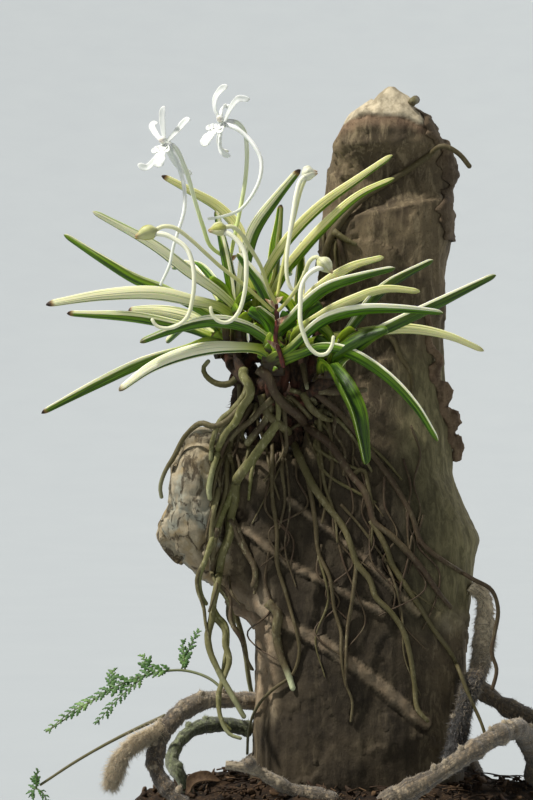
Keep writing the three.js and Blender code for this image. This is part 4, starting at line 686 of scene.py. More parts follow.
class Look:
    """Node material, built a step at a time on its Principled shader. Colours are hexadecimal or sockets."""

    def __init__(self, name, **shader):
        self.material = bpy.data.materials.new(name)
        self.material.use_nodes = True
        self.tree = self.material.node_tree
        self.shader = self.tree.nodes["Principled BSDF"].inputs
        for label, value in shader.items():
            self.shader[label.replace("_", " ")].default_value = value

    def node(self, kind, inputs, **settings):
        made = self.tree.nodes.new("ShaderNode" + kind)
        for label, value in settings.items():
            setattr(made, label, value)
        for socket, value in inputs.items():
            self.put(made.inputs[socket], value)
        return made

    def put(self, socket, value):
        if isinstance(value, bpy.types.NodeSocket):
            self.tree.links.new(value, socket)
        else:
            socket.default_value = value

    def value(self, kind):
        return self.node("Attribute", {}, attribute_name=kind).outputs["Fac"]

    def place(self, pitch, stretch=(1, 1, 1)):
        at = self.node("TexCoord", {}).outputs["Object"]
        scale = [x / (pitch * MM) for x in stretch]
        return self.node("Mapping", {"Vector": at, "Scale": scale}).outputs[0]

    def strands(self, across, along):
        """Coordinates on a blade or root: so many features across it and along it, other ones for each."""
        joined = self.node("CombineXYZ", {
            "X": self.times(self.value("across"), across),
            "Y": self.times(self.value("along"), along),
            "Z": self.times(self.value("tone"), 37.0)})
        return joined.outputs[0]

    def warped(self, vector, amount):
        """Coordinates shaken by a noise, so that what is drawn on them isn't regular."""
        shake = self.node("TexNoise", {"Vector": vector, "Scale": 1.3, "Detail": 3.0}).outputs["Color"]
        joined = self.node("VectorMath", {0: shake, 1: (amount,) * 3, 2: vector}, operation="MULTIPLY_ADD")
        return joined.outputs[0]

    def noise(self, vector, detail=4.0, roughness=0.55, distortion=0.0):
        return self.node("TexNoise", {"Vector": vector, "Scale": 1.0, "Detail": detail,
                                      "Roughness": roughness, "Distortion": distortion}).outputs["Fac"]

    def cells(self, vector, feature="F1"):
        return self.node("TexVoronoi", {"Vector": vector, "Scale": 1.0}, feature=feature).outputs["Distance"]

    def math(self, operation, a, b=0.0):
        return self.node("Math", {0: a, 1: b}, operation=operation).outputs[0]

    def times(self, a, b):
        return self.math("MULTIPLY", a, b)

    def shaken(self, value, field, amount, middle=0.5):
        """A value that wavers as the field does about its middle."""
        return self.math("ADD", value, self.times(self.math("SUBTRACT", field, middle), amount))

    def step(self, value, low, high, start=0.0, end=1.0):
        inputs = {"Value": value, "From Min": low, "From Max": high, "To Min": start, "To Max": end}
        return self.node("MapRange", inputs, interpolation_type="SMOOTHSTEP").outputs[0]

    def mix(self, share, a, b):
        a, b = (tint(x) if isinstance(x, str) else x for x in (a, b))
        return self.node("Mix", {0: share, 6: a, 7: b}, data_type="RGBA").outputs[2]

    def coat(self, base, colour, field, low, high, strength=1.0):
        """The colour over the base as the field goes from low to high."""
        return self.mix(self.step(field, low, high, 0.0, strength), base, colour)

    def finished(self, colour, rough, *bumps):
        """The material. `rough` is (field, lowest, highest), each bump (field, millimetres, strength)."""
        field, low, high = rough
        self.put(self.shader["Base Color"], colour)
        self.put(self.shader["Roughness"], self.step(field, 0.0, 1.0, low, high))
        inputs = {}
        for field, distance, strength in bumps:
            inputs.update({"Height": field, "Distance": distance * MM, "Strength": strength})
            inputs["Normal"] = self.node("Bump", inputs).outputs[0]
            self.put(self.shader["Normal"], inputs["Normal"])
        return self.material


def stone_look():
    """Stone: `tip` olive, `across` pink, `along` shade, `mark` pale, `tone` the lobe's end, `over` relief."""
    look = Look("weathered_stone", Specular_IOR_Level=0.25)
    broad = look.noise(look.place(15), 5.0, 0.6)
    streak = look.noise(look.place(2.4, (1, 1, 0.3)), 6.0, 0.7, 0.6)
    patch = look.noise(look.place(4.5, (1, 1, 0.6)), 5.0, 0.65)
    speck = look.noise(look.place(0.8), 3.0, 0.7)
    lobe = look.value("tone")
    body = look.coat("4c4233", "695c46", broad, 0.35, 0.65)
    body = look.coat(body, "887a60", streak, 0.48, 0.66, 0.7)
    body = look.coat(body, "332a1e", patch, 0.47, 0.3, 0.65)
    body = look.coat(body, "281f16", speck, 0.55, 0.72, 0.5)
    body = look.mix(look.value("tip"), body, look.coat("565139", "7f7857", streak, 0.35, 0.65))
    pink = look.coat("6b5342", "a88b70", patch, 0.35, 0.65)
    pink = look.coat(pink, "503a2c", speck, 0.5, 0.7, 0.5)
    body = look.mix(look.times(look.value("across"), 0.7), body, pink)
    body = look.mix(look.times(look.value("along"), 0.88), body, "18130c")
    pale = look.coat("c2b69c", "8f856f", patch, 0.38, 0.62)
    pale = look.coat(pale, "8d806a", speck, 0.5, 0.75, 0.5)
    body = look.mix(look.value("mark"), body, pale)
    tan = look.coat("998662", "97998c", broad, 0.44, 0.54)
    body = look.mix(look.times(lobe, look.step(patch, 0.45, 0.62, 0.15, 0.7)), body, tan)
    # Cracks on the lobe: grooved by the bump, and drawn dark as painted shade in them.
    edges = look.cells(look.warped(look.place(17, (1, 1, 0.55)), 2.4), "DISTANCE_TO_EDGE")
    crack_and_shade = look.times(look.step(look.shaken(edges, streak, 0.4, 0.46), 0.07, 0.0), lobe)
    body = look.mix(look.times(crack_and_shade, 0.8), body, "3a2e20")
    # Painted shade: darker where the relief sinks into hollows, less so on the lobe.
    hollow_shade = look.times(look.step(look.value("over"), 0.3, 0.0), look.step(lobe, 1.0, 0.0, 0.4, 1.0))
    body = look.mix(hollow_shade, body, "2f261b")
    rills = look.math("SUBTRACT", streak, crack_and_shade)
    return look.finished(body, (speck, 0.75, 1.0), (rills, 0.45, 0.7), (speck, 0.2, 0.8))


def root_look():
    """Root: `tone` runs from brown to green, `mark` is dead bark and painted shade, `tip` a fresh pale end.
    """
    look = Look("root_skin", Specular_IOR_Level=0.35)
    broad = look.noise(look.place(8), 4.0, 0.6)
    mottle = look.noise(look.place(1.1, (1, 1, 0.5)), 5.0, 0.7)
    skin = look.coat("4a3f2b", "6d6e3c", look.value("tone"), 0.15, 0.85)
    skin = look.coat(skin, "827e54", broad, 0.42, 0.65, 0.6)
    skin = look.coat(skin, "bebb94", mottle, 0.52, 0.72, 0.7)
    skin = look.coat(skin, "332b19", mottle, 0.46, 0.25, 0.8)
    skin = look.mix(look.times(look.value("mark"), 0.85), skin, "3d2c1d")
    skin = look.coat(skin, "b9bf98", look.value("along"), 0.72, 0.95, look.value("tip"))
    return look.finished(skin, (mottle, 0.5, 0.85), (mottle, 0.3, 0.9))


def leaf_look(name, deep, fresh):
    """Blade: `over` is its upper face, `tone` how yellow it is, `mark` its cream share, `tip` a dead end."""
    look = Look(name, Specular_IOR_Level=0.28, Coat_Weight=0.06, Coat_Roughness=0.2,
                Subsurface_Weight=0.25, Subsurface_Scale=0.0012, Subsurface_Radius=(0.8, 1.0, 0.1))
    across = look.math("ABSOLUTE", look.value("across"))
    along, upper, yellow, cream = (look.value(kind) for kind in ("along", "over", "tone", "mark"))
    streak = look.noise(look.strands(6.0, 2.0), 4.0, 0.65)
    fine = look.noise(look.strands(26.0, 4.0), 3.0, 0.6)
    lines = look.noise(look.strands(17.0, 1.2), 2.0, 0.5)
    mottle = look.noise(look.place(4), 4.0, 0.6)
    deep, fresh = look.mix(yellow, deep, "2f5203"), look.mix(yellow, fresh, "85a515")
    green = look.coat(deep, fresh, streak, 0.4, 0.58)
    green = look.coat(green, fresh, fine, 0.5, 0.72, 0.35)
    # Painted shade: the green darkens towards the fold, strongly in the upper face's channel and a little
    # along the keel.
    inner = look.times(look.step(across, 0.5, 0.0), look.step(upper, 0.0, 1.0, 0.25, 0.7))
    green = look.mix(inner, green, deep)
    green = look.coat(green, "97ad1e", across, 0.5, 0.9, look.times(yellow, 0.75))
    # The cream reaches further and is whiter on the upper face than below: painted highlight on the lit face.
    reach = look.times(cream, look.math("MAXIMUM", upper, look.step(cream, 0.4, 0.7, 0.6, 1.0)))
    border = look.math("SUBTRACT", 0.95, look.times(reach, 0.95))
    share = look.step(look.math("SUBTRACT", look.shaken(across, streak, 0.36), border), -0.03, 0.05)
    share = look.times(share, look.step(lines, 0.62, 0.57, 0.35, 1.0))
    pale = look.mix(upper, look.mix(yellow, "f4f3da", "e0da7c"), look.mix(yellow, "fefefa", "f8f1a8"))
    pale = look.coat(pale, look.mix(yellow, "d9dcc4", "cdcc60"), fine, 0.6, 0.4, 0.4)
    pale = look.coat(pale, "aebb3c", along, 0.42, 0.12)
    skin = look.mix(share, green, pale)
    skin = look.coat(skin, look.coat("456a10", "8ea42e", streak, 0.4, 0.6), along, 0.24, 0.1, 0.8)
    # Dark brown at the foot: the brown sheath, deepened as painted shade in the crown.
    skin = look.coat(skin, "33270f", along, 0.14, 0.04)
    ragged = look.shaken(along, mottle, 0.04)
    for colour, low, high in (("8a6a3c", 0.955, 0.98), ("2b1a10", 0.972, 0.988)):
        skin = look.coat(skin, colour, ragged, low, high, look.value("tip"))
    ribs = look.noise(look.strands(9.0, 3.0), 2.0)
    return look.finished(skin, (mottle, 0.32, 0.48), (fine, 0.1, 0.6), (ribs, 0.25, 0.6))


def sheath_look():
    look = Look("leaf_sheath", Specular_IOR_Level=0.35)
    fibre = look.noise(look.strands(9.0, 4.0), 5.0, 0.65)
    skin = look.coat("3c4317", "7d8636", fibre, 0.35, 0.65)
    # Dark brown towards the foot: the old stem, deepened as painted shade in the crown.
    skin = look.coat(skin, "2c2014", look.value("along"), 0.6, 0.15)
    return look.finished(skin, (fibre, 0.5, 0.8), (fibre, 0.35, 0.9))


def crown_look():
    look = Look("crown_fibre", Specular_IOR_Level=0.25)
    fibre = look.noise(look.place(1.2, (1, 1, 0.5)), 5.0, 0.7)
    skin = look.coat("1a130c", "463425", fibre, 0.35, 0.65)
    skin = look.coat(skin, "5b3326", look.noise(look.place(5), 3.0), 0.5, 0.7, 0.7)
    skin = look.coat(skin, "84785c", fibre, 0.66, 0.82)
    return look.finished(skin, (fibre, 0.7, 0.95), (fibre, 0.7, 1.0))


def petal_look(name, white, shade, green):
    """Petal or spur: `mark` is its green share and `tip` its brown one."""
    look = Look(name, Specular_IOR_Level=0.35, Sheen_Weight=0.15, Subsurface_Weight=0.45,
                Subsurface_Scale=0.0015, Subsurface_Radius=(1.0, 1.0, 0.9))
    vein = look.noise(look.strands(9.0, 1.6), 3.0, 0.6)
    crystal = look.noise(look.place(0.5), 2.0, 0.6)
    skin = look.coat(shade, white, vein, 0.4, 0.65)
    skin = look.mix(look.value("mark"), skin, green)
    skin = look.mix(look.value("tip"), skin, "9a6a48")
    return look.finished(skin, (crystal, 0.4, 0.6), (vein, 0.12, 0.5), (crystal, 0.05, 0.5))


def stalk_look():
    """Flower stalk: `mark` is a dry, pale bract."""
    look = Look("flower_stalk", Specular_IOR_Level=0.4)
    fleck = look.noise(look.place(0.8, (1, 1, 0.4)), 4.0, 0.6)
    skin = look.coat("35120d", "6b2c20", fleck, 0.35, 0.65)
    skin = look.mix(look.value("mark"), skin, look.coat("b98a6c", "e0d3b0", fleck, 0.4, 0.6))
    return look.finished(skin, (fleck, 0.4, 0.65), (fleck, 0.15, 0.8))


def fur_look(name, dark, light, pale):
    """Hairy rhizome: `tone` is its pale share above 0 and painted deep shade below 0."""
    look = Look(name, Specular_IOR_Level=0.2, Sheen_Weight=0.3, Sheen_Roughness=0.6)
    tuft = look.noise(look.place(0.9, (1, 1, 0.7)), 5.0, 0.7)
    scales = look.cells(look.warped(look.place(1.3, (1, 1, 0.6)), 0.7))
    fibre = look.noise(look.strands(5.0, 7.0), 4.0, 0.65)
    skin = look.coat(dark, light, tuft, 0.38, 0.62)
    skin = look.coat(skin, pale, look.noise(look.place(7), 3.0, 0.6), 0.5, 0.7, 0.35)
    skin = look.coat(skin, pale, scales, 0.22, 0.1, 0.22)
    skin = look.coat(skin, dark, scales, 0.38, 0.6, 0.9)
    skin = look.mix(look.times(look.value("tone"), look.step(tuft, 0.3, 0.5, 0.55, 1.0)), skin, pale)
    skin = look.coat(skin, dark, fibre, 0.5, 0.38, 0.6)
    skin = look.coat(skin, "120e0a", look.value("tone"), 0.0, -0.2)
    return look.finished(skin, (tuft, 0.8, 1.0), (tuft, 0.6, 1.0), (fibre, 0.4, 1.0))


def frond_look():
    """Fern leaf: `mark` is its brown rib."""
    look = Look("fern_leaf", Specular_IOR_Level=0.4, Subsurface_Weight=0.15, Subsurface_Scale=0.0008,
                Subsurface_Radius=(0.5, 1.0, 0.2))
    vein = look.noise(look.strands(6.0, 3.0), 3.0)
    skin = look.coat("2a4a22", "557c38", vein, 0.35, 0.7)
    skin = look.coat(skin, "7f9f58", look.noise(look.place(6), 3.0), 0.5, 0.7, 0.6)
    skin = look.mix(look.value("mark"), skin, "55502f")
    return look.finished(skin, (vein, 0.4, 0.65), (vein, 0.15, 0.7))


def peat_look():
    look = Look("peat", Specular_IOR_Level=0.2)
    clump = look.noise(look.place(3.5), 6.0, 0.7)
    fleck = look.cells(look.place(1.5, (1, 1, 1.6)))
    skin = look.coat("120d09", "382a1d", clump, 0.35, 0.65)
    skin = look.coat(skin, "6f5c41", fleck, 0.25, 0.05, 0.7)
    return look.finished(skin, (clump, 0.85, 1.0), (clump, 0.9, 1.0), (fleck, 0.4, 0.8))


def litter_look():
    look = Look("litter", Specular_IOR_Level=0.25)
    fibre = look.noise(look.place(1.2), 5.0, 0.65)
    skin = look.mix(look.value("tone"), "1a110b", "5a452e")
    skin = look.coat(skin, "36261a", fibre, 0.4, 0.7)
    return look.finished(skin, (fibre, 0.65, 0.95), (fibre, 0.35, 0.9))


def dress(shape, name, look, slot, *nodes):
    """Piece of the object, in place of the CAD nodes that it stands for."""
    made = shape.object(name)
    made.data.materials.append(look)
    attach(made, "root")
    if nodes:
        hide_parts(*nodes)
    return made


# ---------------------------------------------------------------- rock

LEDGE_TILT = 0.2  # how steeply the ledge below the top climbs to the right
VISIBLE_WEAR = 0.35  # share of the CAD's broad wear, since finer relief is added here
MOST_WEAR = 0.25  # of the section's half width
COLUMN_RINGS, COLUMN_SIDES = 150, 96
LOBE_RINGS, LOBE_SIDES = 60, 64
CRUST_ROWS, CRUST_COLUMNS = 84, 14
DEEPEST_RELIEF = 2.4
ROCK_PITCH = 0.8  # between the points of the fine skin


def row_at(table, values):
    table = np.array(table, float)
    return [np.interp(values, table[:, 0], column) for column in table[:, 1:].T]


def wear(angle, height):
    """How far the weathered surface lies inside the rock's plain outline."""
    flutes = 1 + 0.6 * np.sin(9 * angle + height / 19) + 0.4 * np.sin(16 * angle - height / 31 + 1)
    rise = np.mod((height + 5 * np.sin(angle + 0.6)) / LEDGE_PITCH, 1)
    ledge = np.where(rise < 0.78, rise / 0.78, (1 - rise) / 0.22)
    return FLUTE_DEPTH * 0.5 * flutes + LEDGE_DEPTH * ledge


def squarish(sides, height, low_u, high_u, low_v, high_v):
    """Rings of a squarish section as u and v, one for each height."""
    c, s, reach = oval(sides, ROCK_SQUARENESS)
    half_u, half_v = (high_u - low_u) / 2, (high_v - low_v) / 2
    deepest = MOST_WEAR * np.minimum(half_u, half_v)[:, None]
    inset = VISIBLE_WEAR * np.minimum(wear(angles(sides), height[:, None]), deepest)
    u = ((low_u + high_u) / 2)[:, None] + (half_u[:, None] - inset) * reach * c
    return u, ((low_v + high_v) / 2)[:, None] + (half_v[:, None] - inset) * reach * s


def rock_blank():
    """The rock's column and lobe as closed skins that run into each other."""
    blank = Shape()
    z = np.linspace(0, ROCK_HEIGHT, COLUMN_RINGS)
    left, right, front, back = row_at(COLUMN, z)
    u, v = squarish(COLUMN_SIDES, z, left, right, front, back)
    level = np.broadcast_to(z[:, None], u.shape)
    tilted = level + LEDGE_TILT * (u - 12) * eased(level, 182, 192) * eased(level, 208, 198)
    blank.skin(np.stack([u, v, tilted], -1))
    x = np.linspace(LOBE[0][0], LOBE[-1][0], LOBE_RINGS)
    top, bottom, front, back = row_at(LOBE, x)
    u, v = squarish(LOBE_SIDES, 2 * x, front, back, bottom, top)  # its wear is twice as close
    blank.skin(np.stack([np.broadcast_to(x[:, None], u.shape), u, v], -1))
    return blank


def remeshed(shape, pitch):
    """Points, quads and normals of one skin over a shape's bodies."""
    mesh = bpy.data.meshes.new("blank")
    points, faces = shape.arrays()
    mesh.from_pydata(points.tolist(), [], faces)
    blank = placed("blank", mesh)
    modifier = blank.modifiers.new("skin", "REMESH")
    modifier.mode = "VOXEL"
    modifier.voxel_size = pitch
    done = blank.evaluated_get(bpy.context.evaluated_depsgraph_get()).to_mesh()
    points, normals = np.empty(len(done.vertices) * 3), np.empty(len(done.vertices) * 3)
    done.vertices.foreach_get("co", points)
    done.vertices.foreach_get("normal", normals)
    faces = [list(p.vertices) for p in done.polygons]
    bpy.data.objects.remove(blank)
    bpy.data.meshes.remove(mesh)
    return points.reshape(-1, 3), faces, normals.reshape(-1, 3)


def facets(points, pitch, seed, tilt=1.0):
    """Chipped relief: each plate, about `pitch` across, is a flat plane of its own height and tilt."""
    at = points / pitch + seed
    at += 0.12 * np.stack([grain(points, 2.5, seed + k) for k in (11, 12, 13)], -1)
    relief = np.empty(len(at))
    for i, p in enumerate(at.tolist()):
        middle = noise.voronoi(p)[1][0]
        slope = noise.noise_vector(middle * 3.7) * tilt
        relief[i] = 1.2 * noise.noise(middle * 5.3) + slope.dot(Vector(p) - middle)
    return relief


def chipped(points, normals, where, count, reach, depth):
    """Points after `count` flat planes are struck off the surface."""
    moved = points.copy()
    picks = rng.choice(np.flatnonzero(where > 0.5), count)
    for pick, size, lean in zip(picks, rng.random(count), rng.normal(size=(count, 3))):
        out = unit(normals[pick] + 0.2 * lean)
        radius = reach * (0.5 + 0.8 * size)
        away = moved - moved[pick]
        share = eased(np.linalg.norm(away, axis=1), radius, radius * 0.75) * where
        over = away @ out
        over -= over[share > 0.3].max() - depth * (0.5 + size)
        moved -= (np.clip(over, 0, None) * share)[:, None] * out
    return moved


def rib_share(points):
    """1 on the ribs that slant across the face, 0 beside them, and how near their lower side is."""
    x, _, z = points.T
    share, below = np.zeros(len(x)), np.zeros(len(x))
    uneven = 1 + 0.35 * grain(points, 5, 31) + 0.2 * grain(points, 1.8, 32)
    for rib, half_width in zip(RIBS, RIB_HALF_WIDTHS):
        for (x0, z0), (x1, z1) in zip(rib, rib[1:]):
            run, rise = x1 - x0, z1 - z0
            t = np.clip(((x - x0) * run + (z - z0) * rise) / (run**2 + rise**2), 0, 1)
            aside, above = x - x0 - t * run, z - z0 - t * rise
            far = np.hypot(aside, above)
            share = np.maximum(share, eased(far, half_width * uneven + 0.6, half_width * uneven - 0.5))
            below = np.maximum(below, eased(far, half_width + 2.2, half_width + 0.6) * (above < 0))
    return share, below * (1 - share)


def rock():
    points, faces, normals = remeshed(rock_blank(), ROCK_PITCH)
    x, y, z = points.T

    # Where each part of the stone is, from 0 to 1. The flank is the smooth olive one on the right, the knob
    # a swelling low on it, and the hem the ragged edge under the lobe.
    lobe = eased(-x, 32, 40) * eased(z, 58, 68)
    flank = eased(x, 8, 20) * eased(z, 158, 138) * eased(z, 55, 72)
    front = eased(-y, 2, 10)
    edge = row_at(CAP_EDGE, x)[0] + 0.6 * grain(points * (1, 1, 0), 5, 5)
    cap = eased(z - edge, -0.5, 0.5)
    knob = np.exp(-((x - 31) / 7) ** 2 - ((z - 63) / 4.5) ** 2) * eased(-y, -2, 8)
    hem = eased(-x, 23, 28) * eased(z, 78, 68) * eased(z, 28, 40) * eased(-y, -4, 6)
    rib, under = (share * eased(-normals[:, 1], 0.2, 0.5) for share in rib_share(points))

    # Relief, in millimetres along the normal.
    striae = grain(points, (2.6, 2.6, 40), 1)
    fine = grain(points, (1.2, 1.2, 11), 2)
    lumps = grain(points, 14, 3)
    pits = grain(points, 2.4, 4)
    relief = 0.6 * lumps + 0.16 * pits + (0.34 * striae + 0.16 * fine) * (1 - 0.75 * lobe)
    relief += (1 - 0.9 * flank) * (1 - lobe) * 1.35 * facets(points, np.array([14, 14, 20]), seed=2)
    relief += lobe * (2.2 * facets(points, np.array([13, 13, 15]), seed=5, tilt=3.4) + 0.2)
    relief += lobe * 0.5 * facets(points, np.array([6, 6, 8]), seed=7, tilt=1.6)
    relief += 0.9 * (cap - 0.5) * eased(z, 214, 218)
    relief += knob * (1.2 + 2.2 * grain(points, 3.4, 8) + 0.9 * grain(points, 1.5, 11))
    relief += hem * (0.9 * grain(points, (3, 3, 8), 9) + 0.5 * grain(points, 1.6, 10))
    relief = relief.clip(-DEEPEST_RELIEF, DEEPEST_RELIEF) * eased(z, 0, 2) * (1 - 0.6 * eased(z, 228, 233))
    relief = relief * (1 - 0.6 * rib) + RIB_HEIGHT * rib * (1 + 0.25 * pits) - 0.5 * under
    moved = points + normals * relief[:, None]
    moved = chipped(moved, normals, cap, count=20, reach=9, depth=0.6)
    moved = chipped(moved, normals, lobe, count=30, reach=4, depth=0.4)
    moved[:, 2] = np.clip(moved[:, 2], 0, ROCK_HEIGHT)

    # How pale, pink and shaded it is. The shade is painted: on the front below the crown, at the foot, below
    # the ribs and under the cap's edge. The rim is the lobe's lower edge, the band the pink stain under the
    # cap, with painted shadow below its edge.
    rough = 0.5 + 0.5 * grain(points, 6, 7)
    face = lobe * eased(-x + 6 * lumps, 41, 45)
    pale = np.maximum.reduce([cap, hem * (0.1 + 0.3 * rough), face * (0.3 + 0.5 * rough),
                              0.4 * eased(knob, 0.3, 0.8) * rough, 0.12 * rib])
    foot = np.interp(x, [r[0] for r in LOBE], [r[2] for r in LOBE])
    rim = eased(np.abs(z - foot - 2.5), 3.2, 1.6) * eased(-x, 20, 30) * eased(-x, 58, 50)
    band = eased(edge - z, -0.3, 0.4) * eased(edge - z, 5, 1) * eased(z, 210, 216)
    pink = np.maximum.reduce([0.85 * band, 0.9 * rim, 0.6 * hem]) * (0.6 + 0.7 * rough)
    pink = np.maximum(pink, 0.4 * rib)
    shade = front * eased(z, 132, 96) * eased(x, 36, 12) * (1 - lobe) * (0.75 + 0.25 * rough)
    shade = np.maximum(shade * (1 - rim) * (1 - hem) * (1 - 0.55 * rib), eased(z, 34, 8) * 0.85)
    shade = np.maximum.reduce([shade * (1 - 0.8 * pale), 0.25 * band, 0.8 * under * front])
    shape = Shape()
    shape.add(moved, faces, over=np.clip(0.6 + 0.4 * relief, 0, 1), mark=pale, across=np.clip(pink, 0, 1),
              tip=flank * 0.9, along=shade, tone=face)
    return shape


def crust(shape, tree):
    """Flakes that stand off the column down its right edge, between two ragged bearings in degrees."""
    v = np.linspace(0, 1, CRUST_ROWS)
    z = CRUST_TOP - CRUST_DROP * v
    left, right, front, back = row_at(COLUMN, z)
    middle = np.stack([(left + right) / 2, (front + back) / 2], -1)
    level = np.stack([z * 0, z * 0, z], -1)
    start = -34 + 12 * grain(level, 7, 11) + 10 * grain(level, 2.2, 12)
    end = 14 + 14 * grain(level, 9, 13)
    outer, inner = np.empty((2, CRUST_ROWS, CRUST_COLUMNS, 3))
    for i in range(CRUST_ROWS):
        for j, share in enumerate(np.linspace(0, 1, CRUST_COLUMNS)):
            angle = math.radians(start[i] + (end[i] - start[i]) * share)
            ray = Vector((math.cos(angle), math.sin(angle), 0))
            hit = tree.ray_cast(Vector((*middle[i], z[i])) + ray * 80, -ray)[0]
            lift = 0.55 + 0.9 * noise.noise(hit / 4) + 0.5 * noise.noise(hit / 1.5) + 0.5 * (1 - share)
            rim = min(share, 1 - share) * CRUST_COLUMNS / 2.5
            at = np.array(hit) + np.array(ray) * max(0.15, lift) * min(1, 0.45 + rim) * eased(v[i], 0, 0.06)
            outer[i, j], inner[i, j] = at + np.array(ray) * 0.3, at - np.array(ray) * 0.3
    grid = np.concatenate([outer, inner[:, ::-1]], axis=1)
    shape.skin(grid[::-1], across=0.3, over=0.6, along=0.45)


def knobbly_fold(shape, tree):
    """Lumpy fold of stone below the crust, on whose plain skin its knobs are measured first."""
    line = laid(FOLD, 0.4, tree)
    stations = np.linspace(0, 1, 90)
    radius = (1.0 + 1.1 * eased(stations, 0.1, 0.5)) * (1 + 0.55 * grain(line.point(stations), 2.2, 21))
    radius *= np.sqrt(np.clip(np.minimum(stations, 1 - stations) / 0.04, 0.05, 1))
    section = ellipse(radius, radius * 0.8, 18)
    rings = sweep(Shape(), line, stations, section, facing=(0, -1, 0))
    knobs = 0.9 * grain(rings, 1.5, 22).reshape(rings.shape[:2])
    section *= (1 + knobs / 2.2)[..., None]
    rings = sweep(Shape(), line, stations, section, facing=(0, -1, 0))
    shape.skin(rings, across=0.6, over=0.6, along=0.3)


def rock_crust(tree):
    shape = Shape()
    crust(shape, tree)
    knobbly_fold(shape, tree)
    return shape


# ---------------------------------------------------------------- roots

ROOT_STEP = 1.4
ROOT_START, ROOT_END = 1.0, 0.52  # visible radius as a share of the CAD's, at the crown and at the tip
ROOT_BRIDGE = 7  # length of root that stiffly spans small hollows
ROOTLETS = 16  # hair-fine roots on the face
MAT_ROOTS = 16  # old roots behind the living ones
CROWN_RADIUS = 2.3
FINE_ROOT = 0.9  # radius under which a root of a bunch is old and brown
STOUT_ROOT = 1.65  # radius over which its tip is fresh and pale
GREEN_ROOT = 0.84  # radius over which a root outside the bunches is still green
CUT_ROOT = 0.95  # radius over which it doesn't taper


def laid(points, lift, tree, back=False):
    """Path that hangs as its points say and lies on the rock wherever the rock stands out further."""
    guide = Path([p if len(p) == 3 else (p[0], INSIDE_FACE, p[1]) for p in points])
    count = max(6, round(guide.length / ROOT_STEP))
    at = guide.point(np.linspace(0, 1, count + 1))
    heading = -1 if back else 1
    depth = heading * at[:, 1]
    seat = depth.copy()
    for k, (x, _, z) in enumerate(at):
        hit = tree.ray_cast((x, -OUTSIDE * heading, z), (0, heading, 0))[0]
        if hit is not None:
            seat[k] = min(depth[k], heading * hit.y - lift)
    reach = max(1, round(ROOT_BRIDGE / 2 / ROOT_STEP))
    padded = np.pad(seat, reach, "edge")
    low = np.min([padded[i:i + len(seat)] for i in range(2 * reach + 1)], axis=0)
    padded = np.pad(low, reach, "edge")
    at[:, 1] = heading * np.mean([padded[i:i + len(seat)] for i in range(2 * reach + 1)], axis=0)
    return Path(at)


def root_bunch(bunch, tree, seed):
    roots, crowns = Shape(), Shape()
    for i, path in enumerate(bunch["crown"]):
        radius = bunch.get("crown_radius", CROWN_RADIUS)
        tube(crowns, Path(path), radius, radius * 0.75, sides=18, rough=0.2, step=0.7, seed=seed + i,
             tone=0.5)
    for i, (radius, path) in enumerate(bunch["roots"]):
        line = laid(path, radius * 0.6, tree, bunch.get("back", False))
        brown = 0.85 if radius < FINE_ROOT else 0.15 + 0.55 * rng.random()
        # Painted shade: roots that hang further right are browner.
        brown = min(0.9, brown + 0.4 * eased(line.point(0.6)[0], -25, 0))
        pale = (1.0 if radius > STOUT_ROOT else 0.3 * rng.random()) * eased(line.point(1)[0], 8, -12)
        tube(roots, line, radius * ROOT_START, radius * ROOT_END, sides=12, rough=0.1, seed=seed + 3 * i,
             tone=rng.random(), mark=brown, tip=pale, across=around(12))
    return roots, crowns


def rootlet(shape, tree, seed):
    """Hair-fine root that wanders down the face."""
    x, z = rng.uniform(-30, 24), rng.uniform(84, 126)
    steps = [(x + 3.2 * k * rng.uniform(-0.7, 1.0) + 1.5 * rng.normal(), z - 9 * k) for k in range(5)]
    tube(shape, laid(steps, 0.25, tree), 0.42, 0.22, sides=7, rough=0.2, seed=seed, tone=0.2, mark=0.95,
         across=around(7))


def mat_root(shape, tree, seed):
    """Old root that spreads down the face from under the crown."""
    x = rng.uniform(-38, -6)
    start = (x, rng.uniform(-13, -5), rng.uniform(129, 138))
    spread = (x + 20) * rng.uniform(0.3, 1.1) + 7 * rng.normal()
    drop = rng.uniform(0.6, 1.15)
    aside = [max(-46, x + share * spread + 3 * share * rng.normal()) for share in (0.35, 0.75, 1, 1.4)]
    steps = [start, (aside[0], -8, start[2] - 6 * drop), (aside[1], -6, start[2] - 15 * drop),
             (aside[2], start[2] - 25 * drop), (aside[3], start[2] - 38 * drop)]
    radius = rng.uniform(0.5, 1.1)
    tube(shape, laid(steps, 0.5 * radius, tree), radius, 0.5 * radius, sides=9, rough=0.14, seed=seed,
         tone=rng.random(), mark=rng.uniform(0.6, 1.0), across=around(9))


def thin_roots(tree):
    shape = Shape()
    for number in range(ROOTLETS):
        rootlet(shape, tree, 90 + number)
    for number in range(MAT_ROOTS):
        mat_root(shape, tree, 140 + number)
    for number, (radius, path) in enumerate(FINE_ROOTS):
        end = radius * (1.05 if radius > CUT_ROOT else 0.5)
        tube(shape, laid(path, radius * 0.8, tree), radius, end, sides=10, step=1.2, rough=0.12, seed=number,
             tone=0.2 + 0.2 * (number % 4), mark=0.2 if radius > GREEN_ROOT else 0.75, across=around(10))
    return shape


def crown_mat():
    """Tangle of dead roots and fibre that fills the space under the stems."""
    shape = Shape()
    for i, (radius, path) in enumerate(MAT_CORES):
        rings = tube(shape, Path(path), radius, radius * 0.8, sides=26, rough=0.28, step=0.6, seed=70 + i,
                     tone=0.4)
        fur(shape, rings, 420, length=1.3, lift=0.15, pale=0.0, thickness=0.14)
    return shape


# ---------------------------------------------------------------- leaves

LEAF_POINTS = 11  # points on each face of a blade's section
LEAF_STATIONS = np.concatenate([np.linspace(0, 0.92, 38), [0.94, 0.955, 0.968, 0.98, 0.989, 0.996, 1]])
OLD_BASES = 5  # short bases of shed leaves on each stem
STEM_WIDTH_SHARE, STEM_DEPTH_SHARE = 0.85, 0.9  # of the CAD's, as blades and bases wrap the visible stem


